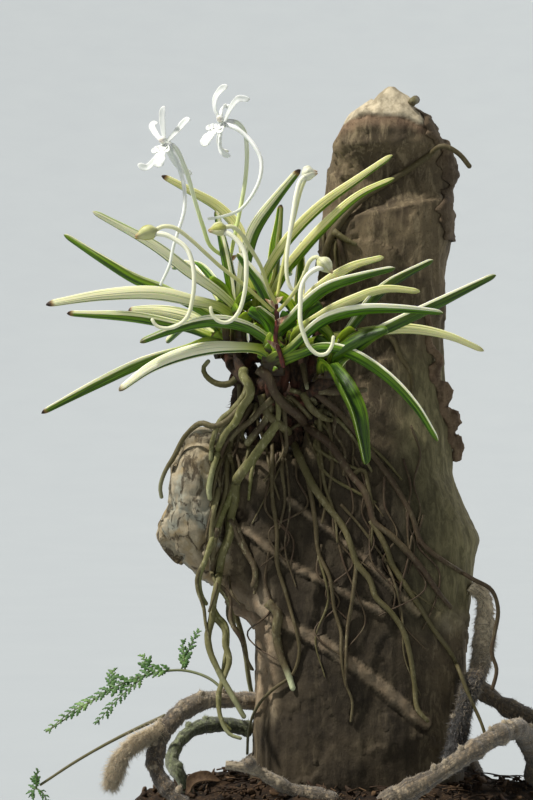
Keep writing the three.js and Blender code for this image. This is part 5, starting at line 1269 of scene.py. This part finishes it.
def leaf_sections(width, stations):
    """Folded, fleshy section with a channel above and a keel below, for each station."""
    base = 1.2 - 0.5 * eased(stations, 0.05, 0.2) + 0.3 * eased(stations, 0.2, 0.5)
    end = blunted(stations, 0.955, 0.045, 0.004)
    share = base * (1 - 0.62 * eased(stations, 0.5, 1.06) ** 1.2) * end
    s = np.sin(np.linspace(math.pi / 2, -math.pi / 2, LEAF_POINTS))
    half_width = width / 2 * math.sin(LEAF_OPENING / 2)
    rise = width / 2 * math.cos(LEAF_OPENING / 2)
    soft = 0.16
    fold = rise * (np.sqrt(s**2 + soft**2) - soft) / (math.sqrt(1 + soft**2) - soft)
    flesh = LEAF_RIB + (LEAF_EDGE - LEAF_RIB) * np.abs(s) ** 1.3
    flesh *= blunted(np.abs(s), 0.8, 0.2, 0.03)
    above = np.stack([s * half_width, fold + flesh * 0.5], -1)
    belly = 0.55 * np.sin(math.pi * np.abs(s).clip(0, 1) ** 0.8) + 0.2 * (1 - np.abs(s)) ** 3
    bulge = 1 + 0.1 * np.sin(math.pi * np.abs(s))
    below = np.stack([s * half_width * bulge, fold - flesh * 0.5 - belly], -1)
    sections = np.concatenate([above, below[::-1]])[None] * share[:, None, None]
    middle = np.concatenate([fold, fold[::-1]])[None] * share[:, None]
    plump = np.minimum(np.sqrt(1 / share.clip(0.05, 1)), 1.7)[:, None] * np.sqrt(end)[:, None]
    sections[..., 1] = middle + (sections[..., 1] - middle) * plump
    across = np.concatenate([s, s[::-1]])[None]
    over = np.concatenate([np.ones(LEAF_POINTS), np.zeros(LEAF_POINTS)])[None]
    return sections, across, over


def stem_point(stem, height):
    share = (height - stem[0][2]) / (stem[-1][2] - stem[0][2])
    return Path(stem).point(np.clip(share, 0.15, 0.9))


def old_base(shape, stem, k):
    """Short broad base that stays on the stem where a leaf was shed."""
    low, high = np.array(stem[0], float), np.array(stem[-1], float)
    way = unit(np.array([1 if k % 2 else -1, 0.5 * rng.normal(), 0]))
    foot = low + (high - low) * (0.02 + 0.16 * k)
    reach = 6.5 + 1.2 * k
    path = [foot, foot + way * 1.2 + (0, 0, 0.35 * reach), foot + way * 0.3 * reach + (0, 0, 0.7 * reach),
            foot + way * 0.75 * reach + (0, 0, reach)]
    stations = np.linspace(0, 1, 20)
    sections, across, over = leaf_sections(6.4, stations * 0.6)
    sections *= blunted(stations, 0.9, 0.1, 0.02)[:, None, None]
    side = np.array([-way[1], way[0], 0])
    sweep(shape, Path(path), stations, sections, side=side, across=across, over=over, mark=-0.2, tip=1.0,
          tone=rng.random())


def leaf_fan(fan, seed):
    blades, stem = Shape(), Shape()
    for i, (width, roll, cream, tip, path) in enumerate(fan["leaves"]):
        foot = stem_point(fan["stem"], path[0][2] - 2.2 * SHEATH_DROP) - (0, 0, FOOT_DROP)
        line = Path([foot, stem_point(fan["stem"], path[0][2] - SHEATH_DROP), *path])
        heading = unit(np.array([path[-1][0] - path[0][0], path[-1][1] - path[0][1], 0]))
        side = np.array([-heading[1], heading[0], 0])
        turn = math.radians(roll + LEAF_LEAN * abs(heading[0]) * (-1 if heading[0] > 0 else 1))
        side = side * math.cos(turn) + np.cross(heading, side) * math.sin(turn)
        sections, across, over = leaf_sections(width * LEAF_SLIMNESS, LEAF_STATIONS)
        still = LEAF_STATIONS * 0
        wave = grain(np.stack([LEAF_STATIONS * 5, still + 3 * i, still], -1), 1, seed)
        sections[..., 1] += 0.12 * wave[:, None] * np.abs(across)
        sweep(blades, line, LEAF_STATIONS, sections, side=side, across=across, over=over, mark=cream,
              tip=tip, tone=fan["yellow"] + 0.1 * rng.random())
    for k in range(OLD_BASES):
        old_base(blades, fan["stem"], k)
    stations = np.linspace(0, 1, 26)
    taper = 1 - 0.45 * stations**2
    steps = 1 + 0.1 * np.mod(stations * 5, 1)
    half_width, half_depth = STEM_HALF_WIDTH * STEM_WIDTH_SHARE, STEM_HALF_DEPTH * STEM_DEPTH_SHARE
    section = ellipse(half_width * taper * steps, half_depth * taper * steps, 20, 1.7)
    sweep(stem, Path(fan["stem"]), stations, section, side=(1, 0, 0), across=around(20), tone=0.4)
    return blades, stem


# ---------------------------------------------------------------- flowers

# Kinds of petal: half width, places along it and the share of the width there, thickness, hollow and how
# wavy the margin is.
TEPAL = (1.1, (0, 0.25, 0.6, 0.85, 1), (0.5, 0.68, 0.95, 1, 0.75), 0.65, 0.4, 0.06)
LIP = (2.1, (0, 0.2, 0.35, 0.5, 0.8, 1), (0.6, 0.8, 0.6, 0.75, 1, 0.7), 0.75, 0.25, 0.45)
LIP_WING = (1.25, (0, 0.5, 0.85, 1), (0.6, 1, 0.9, 0.6), 0.6, 0.5, 0.35)
FOLDED_TEPAL = (0.66, (0, 0.3, 0.65, 1), (0.6, 1, 0.8, 0.22), 0.55, -0.4, 0)
BRACT = (1.0, (0, 0.4, 1), (1, 0.85, 0.12), 0.5, 0.6, 0)
DEAD_BLADE = (2.4, (0, 0.3, 0.7, 1), (0.3, 1, 0.9, 0.2), 0.5, 0.9, 0)
BUD_SWELL = ((0.28, 0.9), (0.6, 0.86), (0.88, 0.42))  # along a bud, and how far out its tepals lie there


def profile(stations, places, widths):
    """Smooth width along a petal through a few given ones."""
    rounded = np.interp(stations, places, widths)
    return np.convolve(np.pad(rounded, 2, "edge"), [0.1, 0.2, 0.4, 0.2, 0.1], "valid")


def petal(shape, path, facing, kind, tone, size=1.0, mark=0.0, tip=0.0):
    """Petal, bract or dry leaf of one of the kinds above, its half width times `size`."""
    half_width, places, widths, thickness, cup, ruffle = kind
    half_width *= size
    stations = np.concatenate([np.linspace(0, 0.9, 26), [0.925, 0.95, 0.975, 0.99, 1]])
    half = half_width * profile(stations, places, widths)
    end = blunted(stations, 0.9, 0.1, 0.01)
    wave = ruffle * np.sin(24 * stations + 9 * tone)
    half *= end * (1 + 0.3 * wave)
    section = ellipse(half, thickness / 2 * end ** 0.5, 16)
    section[..., 1] += cup * (section[..., 0] ** 2) / half_width
    section[..., 1] += (0.8 * wave * end)[:, None] * section[..., 0] * np.abs(section[..., 0]) / half_width
    sweep(shape, Path(path), stations, section, facing=facing, across=np.cos(angles(16))[None], tone=tone,
          mark=mark, tip=(tip * eased(stations, 0.7, 0.95))[:, None])


def thread(shape, path, start, end, mark, seed):
    """Flower stalk or spur: an even, slightly tapered tube, `mark` from its foot to its tip."""
    line = Path(path)
    count = max(12, round(line.length / 1.1))
    shoulder, rim = 1 - 0.8 * end / line.length, 1 - 0.25 * end / line.length
    stations = np.concatenate([np.linspace(0, shoulder, count), [rim, 1]])
    radius = start + (end - start) * stations
    radius[-2:] *= (0.8, 0.3)
    radius *= 1 + 0.05 * grain(line.point(stations), 3, seed)
    greens = mark[0] + (mark[1] - mark[0]) * eased(stations)
    sweep(shape, line, stations, ellipse(radius, radius, 12), mark=greens[:, None],
          across=np.linspace(-1, 1, 12)[None], tone=seed * 0.13 % 1)


def egg(shape, path, radius, lobes, seed, mark=0.0, tip=0.0, pinch=0.0):
    """Egg-shaped body with lengthwise folds."""
    stations = (1 - np.cos(np.linspace(0.02, math.pi - 0.02, 24))) / 2
    swell = np.sqrt(np.clip(1 - (2 * stations - 1) ** 2, 0.02, 1)) * (1 - pinch * stations)
    angle = angles(24)
    folds = 1 + 0.09 * np.cos(lobes * angle + seed) * eased(stations, 0.1, 0.7)[:, None]
    section = ellipse(radius * swell, radius * swell, 24) * folds[..., None]
    mark = np.clip(mark + 0.15 * np.cos(lobes * angle)[None], 0, 1)
    sweep(shape, Path(path), stations, section, mark=mark, tip=tip * eased(stations, 0.6, 1.0)[:, None],
          across=np.cos(angle)[None], tone=seed * 0.21 % 1)


def bloom(parts, seed):
    shape = Shape()
    thread(shape, parts["pedicel"], 0.62, 0.75, (0.9, 0.15), seed)
    thread(shape, parts["spur"], 0.75, 0.45, (0.0, 0.12), seed + 1)
    for i, path in enumerate(parts["tepals"]):
        petal(shape, path, parts["facing"], TEPAL, 0.1 + 0.17 * i)
    mouth = np.array(parts["lip"][0])
    fall = np.array(parts["lip"][-1]) - mouth
    facing = np.array(parts["lip_facing"])
    petal(shape, parts["lip"], facing, LIP, 0.9)
    side = unit(np.cross(fall, facing))
    for turn in (-1, 1):
        wing = [mouth + fall * 0.05, mouth + fall * 0.22 + side * 1.5 * turn + facing * 0.5,
                mouth + fall * 0.42 + side * 2.6 * turn + facing * 1.2]
        petal(shape, wing, facing, LIP_WING, 0.5 + 0.2 * turn)
    egg(shape, [parts["pedicel"][-2], parts["pedicel"][-1], mouth], 1.3, lobes=3, seed=seed)
    column = [mouth + facing * 0.2 + (0, 0, 0.9), mouth + facing * 1.6 + (0, 0, 0.9), mouth + facing * 2.7]
    egg(shape, column, 1.25, lobes=2, seed=seed, tip=0.35)
    return shape


def bud(parts, seed):
    """Closed flower: folded tepals wrapped round a core, on its stalk, with its spur."""
    shape = Shape()
    thread(shape, parts["pedicel"], 0.55, 0.68, (0.9, 0.45), seed)
    thread(shape, parts["spur"], 0.82, 0.55, (0.1, 0.3), seed + 1)
    radius, green = 0.9 * parts["radius"], parts["green"]
    head = Path(parts["head"])
    head = Path([head.point(t) for t in (0.08, 0.5, 0.84)])
    foot, end = head.point(0), head.point(1)
    axis = unit(end - foot)
    core = [head.point(t) for t in (0.04, 0.5, 0.92)]
    egg(shape, core, radius * 0.8, lobes=3, seed=seed, mark=green, pinch=0.4)
    side = unit(np.cross(axis, (0, 0, 1)))
    over = np.cross(side, axis)
    for k in range(5):
        angle = 2 * math.pi * k / 5 + 0.7 * seed
        out = side * math.cos(angle) + over * math.sin(angle)
        swell = radius * (0.96 + 0.1 * (k % 2))
        path = [foot + out * 0.3 * radius]
        path += [head.point(t) + out * share * swell for t, share in BUD_SWELL]
        path += [end + axis * (0.3 + 0.5 * (k % 2)) + out * 0.12 * radius]
        petal(shape, path, out, FOLDED_TEPAL, 0.2 * k, size=radius, mark=green * (0.7 + 0.3 * (k % 3 == 0)),
              tip=0.7 if k % 2 else 0.25)
    return shape


def flower_stalk(path, seed):
    shape = Shape()
    line = Path(path)
    tube(shape, line, 0.85, 0.7, sides=12, step=0.5, rough=0.16, seed=seed, tone=0.3)
    for i, t in enumerate((0.3, 0.66, 0.9, 0.97)):
        foot = line.point(t)
        lean = unit((1 if i % 2 else -1, -0.3, 0.7)) * (4.4 if i < 3 else 3)
        bract = [foot, foot + lean * 0.5 + (0, -0.4, 0), foot + lean]
        petal(shape, bract, (0, -1, 0.2), BRACT, 0.2 * i, mark=0.4 + 0.2 * i)
    return shape


# ---------------------------------------------------------------- rhizomes and fronds

STUB_PITCH = 7  # between the stubs of shed fronds
SHAGGY_FOOT = 0.9  # how pale the foot of a shaggy rhizome is at least
# Coats: hairs to a millimetre of rhizome, then their length, lift, paleness (below 0 painted shade) and
# thickness.
BARE = (22, 0.9, 0.3, 0.12, 0.13)
SCALY = (60, 0.9, 0.3, 0.12, 0.13)
SHAGGY = (130, 1.7, 0.45, (0.9, -0.5), 0.13)
WOOLLY = (190, 2.5, 0.8, 0.85, 0.1)


def coated(shape, line, rings, coat):
    """Fur of one of the coats above on a rhizome's tube."""
    density, *hairs = coat
    fur(shape, rings, round(line.length * density), *hairs)


def rhizome(radius_from, radius_to, green, pale, branches, seed):
    """Creeping stem with stubs. A long second branch is a young woolly tip."""
    shape = Shape()
    coat = SHAGGY if pale[0] > SHAGGY_FOOT else BARE if green else SCALY
    for i, path in enumerate(branches):
        line = Path(path)
        if i == 1 and len(path) > 3:
            rings = tube(shape, line, 1.5, 2.1, sides=20, rough=0.24, step=0.5, seed=seed + i,
                         tone=(0.8, 1.0), across=around(20))
            coated(shape, line, rings, WOOLLY)
            continue
        rings = tube(shape, line, radius_from * 1.03, radius_to * 1.03, sides=26, step=0.5, rough=0.2,
                     seed=seed + i, tone=pale, across=around(26))
        coated(shape, line, rings, coat)
        for k in range(2, round(line.length / STUB_PITCH)):
            t = STUB_PITCH * k / line.length + 0.03 * rng.normal()
            if t < 0.95:
                foot = line.point(t)
                out = unit((0.5 * rng.normal(), -0.3, 1.0))
                stub = Path([foot, foot + out * radius_from, foot + out * (radius_from + 1.1)])
                rings = tube(shape, stub, 1.5, 0.9, sides=14, rough=0.2, step=0.4, seed=seed + 9 * k,
                             tone=0.35)
                fur(shape, rings, 40, length=0.9, lift=0.5, pale=0.3, thickness=0.1)
    return shape


def leaflet(shape, foot, tip, facing, half_width, tone):
    """Blade with three teeth to each side that is widest near its foot."""
    teeth = 3
    stations = np.linspace(0, 1, 6 * teeth + 1)
    tooth = np.mod(stations * teeth, 1)
    edge = np.where(tooth < 0.7, 0.4 + 0.86 * tooth, 1.0 - 2.0 * (tooth - 0.7))
    outline = np.sin(math.pi * stations ** 0.75) ** 0.8 * edge + 0.04
    middle = (np.asarray(foot) + tip) / 2 + np.array([0, 0, 0.3])
    section = ellipse(half_width * outline, 0.16, 6)
    sweep(shape, Path([foot, middle, tip]), stations, section, facing=facing, tone=tone,
          across=np.array([1, 0.5, -0.5, -1, -0.5, 0.5])[None])


def pinna(shape, foot, tip, facing, reach, spacing=1.25):
    """Side branch of a frond: a thin rib with small toothed leaflets on both sides."""
    foot, tip = np.asarray(foot, float), np.asarray(tip, float)
    rib = Path([foot, (foot + tip) / 2 + np.array([0, 0, 1]), tip])
    tube(shape, rib, 0.3, 0.12, sides=6, step=1.2, rough=0.05, mark=0.4, tone=0.4)
    count = max(6, round(rib.length / spacing))
    for k in range(count):
        t = (k + 0.8) / (count + 0.6)
        base, along = rib.point(t), rib.along(t)
        across = unit(np.cross(facing, along)) * (1 if k % 2 else -1)
        length = (1.3 + (reach - 1.3) * (1 - t) ** 0.8) * (0.7 + 0.6 * rng.random())
        end = base + unit(along * 1.2 + across + facing * 0.35 * rng.normal()) * length
        leaflet(shape, base, end, facing + 0.4 * across, length * 0.28, rng.random())
    leaflet(shape, rib.point(0.9), tip, facing, 0.7, 0.5)


def fern_frond():
    shape = Shape()
    main = Path(FROND_RIB)
    tube(shape, main, 0.55, 0.22, sides=8, step=1.2, rough=0.05, mark=0.7, tone=0.5)
    facing = unit(FROND_FACING)
    for share, tip in FROND_SIDE_RIBS:
        pinna(shape, main.point(share), tip, facing, reach=3.9, spacing=1.1)
    for start in (0.4, 0.58, 0.76):
        pinna(shape, main.point(start), main.point(start + 0.24), facing, reach=4.3)
    return shape


def low_stipe():
    """Stalk of a second frond, which is only its first few leaflets long."""
    shape = Shape()
    tube(shape, Path(LOW_STIPE), 0.6, 0.4, sides=8, step=1.2, rough=0.06, mark=1.0, tone=0.5)
    foot = np.array(LOW_STIPE[-1])
    for way in LOW_LEAFLETS:
        pinna(shape, foot - (1, 0.3, 1), foot + way, unit(FROND_FACING), reach=2.7)
    return shape


# ---------------------------------------------------------------- peat

CHIPS, NEEDLES = 420, 160


def peat_rim(angle):
    """How far the mound's wavy rim lies out, as a share of its plain ellipse."""
    return 1 + 0.05 * np.sin(3 * angle + 1) + 0.04 * np.sin(7 * angle)


def peat_height(x, y):
    """Height of the mound's top at a place, and its share of the way out to the rim."""
    u, v = (x - PEAT_CENTRE[0]) / PEAT_REACH[0], (y - PEAT_CENTRE[1]) / PEAT_REACH[1]
    share = np.hypot(u, v) / peat_rim(np.arctan2(v, u))
    bump = 1.6 * np.sin(x / 4.3 + 2) * np.sin(y / 3.7)
    rise = PEAT_EDGE + (PEAT_HEIGHT - PEAT_EDGE) * np.sqrt(np.clip(1 - share**2, 0, 1))
    return rise + bump * eased(share, 1, 0.9), share


def peat_mound():
    shape = Shape()
    sides = 170
    angle = angles(sides)
    edge = peat_rim(angle)
    rings = []
    for share, top in [(0.985, False), (1, True), *((s, True) for s in np.linspace(0.985, 0.3, 44))]:
        x = PEAT_CENTRE[0] + PEAT_REACH[0] * share * edge * np.cos(angle)
        y = PEAT_CENTRE[1] + PEAT_REACH[1] * share * edge * np.sin(angle)
        z = peat_height(x, y)[0] if top else np.zeros(sides)
        if top:
            at = np.stack([x, y, z], -1)
            crumbs = 1.1 * grain(at, 4.2, 2) + 0.7 * grain(at, 1.7, 3)
            z = np.maximum(0.3, z + crumbs * eased(share, 1.02, 0.93))
        rings.append(np.stack([x, y, z], -1))
    shape.skin(np.array(rings))
    return shape


def peat_spot(spread):
    """Random place on the outer half of the mound, and its share of the way out to the rim."""
    angle, share = rng.random() * 2 * math.pi, 0.5 + spread * rng.random()
    x = PEAT_CENTRE[0] + PEAT_REACH[0] * share * math.cos(angle)
    y = PEAT_CENTRE[1] + PEAT_REACH[1] * share * math.sin(angle)
    z, out = peat_height(x, y)
    return np.array([x, y, z]), out


def chip(shape, at, size, turn, tilt, tone):
    """Flake of bark: an uneven, slightly bent slab."""
    sides = 9
    angle = angles(sides) + turn
    radius = size * (0.7 + 0.45 * rng.random(sides))
    u, v = radius * np.cos(angle), 0.45 * radius * np.sin(angle)
    plate = np.stack([u, v, 0.12 * size * np.cos(2 * angle)], -1)
    c, s = math.cos(turn), math.sin(turn)
    plate = plate @ np.array([[c, s, 0], [-s, c, 0], [0, 0, 1]])
    c, s = math.cos(tilt), math.sin(tilt)
    plate = plate @ np.array([[c, 0, s], [0, 1, 0], [-s, 0, c]])
    thick = np.array([0, 0, 0.14 * size + 0.25])
    rings = np.array([plate * 0.75 - thick, plate, plate + thick, plate * 0.8 + 1.6 * thick]) + at
    shape.skin(rings, tone=tone)


def litter():
    """Bark flakes and bits of stem scattered on the peat, clear of its rim."""
    shape = Shape()
    for _ in range(CHIPS):
        spot, out = peat_spot(0.48)
        if out <= 0.95:
            chip(shape, spot + (0, 0, 0.4), 0.8 + 2.2 * rng.random() ** 3, rng.random() * 6.3,
                 0.5 * rng.normal(), rng.random())
    for _ in range(NEEDLES):
        spot, out = peat_spot(0.45)
        if out <= 0.85:
            way = rng.random() * 2 * math.pi
            step = np.array([math.cos(way), math.sin(way), 0]) * (2 + 4 * rng.random())
            at = spot + (0, 0, 0.9)
            sag = np.array([0.6 * rng.normal(), 0.6 * rng.normal(), 0.5])
            tube(shape, Path([at - step, at + sag, at + step]), 0.3, 0.18, sides=5, step=1.5, rough=0.1,
                 tone=rng.random())
    return shape


def dry_leaf():
    """Curled brown leaf that lies at the mound's left front."""
    shape = Shape()
    petal(shape, DRY_LEAF, (0.1, -0.6, 0.8), DEAD_BLADE, 0.65)
    return shape


# ---------------------------------------------------------------- the object

STONE, ROOT, CROWN, SHEATH = stone_look(), root_look(), crown_look(), sheath_look()
LEAF = {"leaf_variegated": leaf_look("leaf_variegated", "1a3804", "4a7a0a"),
        "leaf_green": leaf_look("leaf_green", "122904", "32580a")}
WHITE = petal_look("petal", "f1f2f0", "dde2dc", "c9d678")
BUD = petal_look("bud", "f6f4e6", "e2e4cc", "a3a53c")
STALK = stalk_look()
FUR = {"rhizome_fur": fur_look("rhizome_fur", "231a12", "6b583f", "dccbab"),
       "rhizome_green": fur_look("rhizome_green", "2a2f1a", "69724a", "a3a982")}
FROND, PEAT, LITTER = frond_look(), peat_look(), litter_look()

rock_shape = rock()
rock_points, rock_faces = rock_shape.arrays()
rock_tree = BVHTree.FromPolygons(rock_points.tolist(), rock_faces)
dress(rock_shape, "rock_fine", STONE, "rock", "rock")
dress(rock_crust(rock_tree), "rock_crust", STONE, "rock")

for number, (node, bunch) in enumerate(ROOT_BUNCHES.items()):
    strands, crowns = root_bunch(bunch, rock_tree, 20 * number)
    dress(strands, f"{node}_fine", ROOT, "root", node)
    dress(crowns, f"{node}_crown", CROWN, "root")
dress(thin_roots(rock_tree), "roots_thin", ROOT, "root")
dress(crown_mat(), "crown_mat", CROWN, "root")

for number, (node, fan) in enumerate(LEAF_FANS.items()):
    blades, stem = leaf_fan(fan, 30 + number)
    slot = "leaf_green" if node == "leaf_fan_right" else "leaf_variegated"
    dress(blades, f"{node}_fine", LEAF[slot], slot, node)
    dress(stem, f"{node}_stem", SHEATH, "leaf_green")

for number, (node, path) in enumerate(FLOWER_STALKS.items()):
    dress(flower_stalk(path, number), f"{node}_fine", STALK, "flower_stalk", node)
for number, (node, parts) in enumerate(BLOOMS.items()):
    dress(bloom(parts, 3 + 2 * number), f"{node}_fine", WHITE, "petal", node)
for number, (node, parts) in enumerate(BUDS.items()):
    dress(bud(parts, 11 + 2 * number), f"{node}_fine", BUD, "bud", node)

for number, (node, (start, end, green, pale, branches)) in enumerate(RHIZOMES.items()):
    slot = "rhizome_green" if green else "rhizome_fur"
    shape = rhizome(start, end, green, pale, branches, 50 + 3 * number)
    dress(shape, f"{node}_fine", FUR[slot], slot, node)

dress(fern_frond(), "fern_frond_fine", FROND, "fern_leaf", "fern_frond")
dress(low_stipe(), "fern_stipe", FROND, "fern_leaf")

dress(peat_mound(), "peat_mound_fine", PEAT, "peat", "peat_mound")
dress(litter(), "litter", LITTER, "peat")
dress(dry_leaf(), "dry_leaf", LITTER, "peat")

# ---------------------------------------------------------------- floor, backdrop and light


def backdrop():
    """Pale floor that rises gently to a far rim on every side."""
    sides = 96
    reach = np.concatenate([np.linspace(300, 1500, 4), np.linspace(1800, 9000, 40)])[:, None]
    rise = 2600 * eased(reach, 1500, 9000)
    c, s = np.cos(angles(sides)), np.sin(angles(sides))
    rings = np.stack([reach * c, reach * s, rise + 0 * c], -1)
    faces = [(0, 1 + i, 1 + (i + 1) % sides) for i in range(sides)]
    for k in range(len(rings) - 1):
        a, b = 1 + sides * k, 1 + sides * (k + 1)
        faces += [(a + i, b + i, b + (i + 1) % sides, a + (i + 1) % sides) for i in range(sides)]
    shape = Shape()
    shape.add(np.vstack([np.zeros((1, 3)), rings.reshape(-1, 3)]), faces)
    made = shape.object("backdrop")
    look = Look("backdrop", Specular_IOR_Level=0.1)
    paper = look.noise(look.place(60), 3.0)
    made.data.materials.append(look.finished(look.mix(paper, "9da3a8", "a2a8ac"), (paper, 0.9, 1.0)))


def sun(name, way, power, softness, colour):
    lamp = bpy.data.lights.new(name, "SUN")
    lamp.energy = power
    lamp.angle = math.radians(softness)
    lamp.color = colour
    placed(name, lamp).rotation_euler = Vector(way).to_track_quat("Z", "Y").to_euler()


backdrop()
sun("key", (-0.66, -0.22, 0.95), power=5.4, softness=5, colour=(1.0, 0.965, 0.9))
sun("rim", (0.8, 0.7, 0.6), power=0.9, softness=14, colour=(1.0, 0.97, 0.93))
sun("fill", (-0.45, -1.0, 0.12), power=0.55, softness=20, colour=(1.0, 0.98, 0.96))

world = bpy.data.worlds.new("studio")
bpy.context.scene.world = world
world.use_nodes = True
sky = world.node_tree.nodes["Background"].inputs
sky["Color"].default_value = (0.9, 0.91, 0.92, 1)
sky["Strength"].default_value = 0.22
bpy.context.scene.view_settings.view_transform = "Standard"
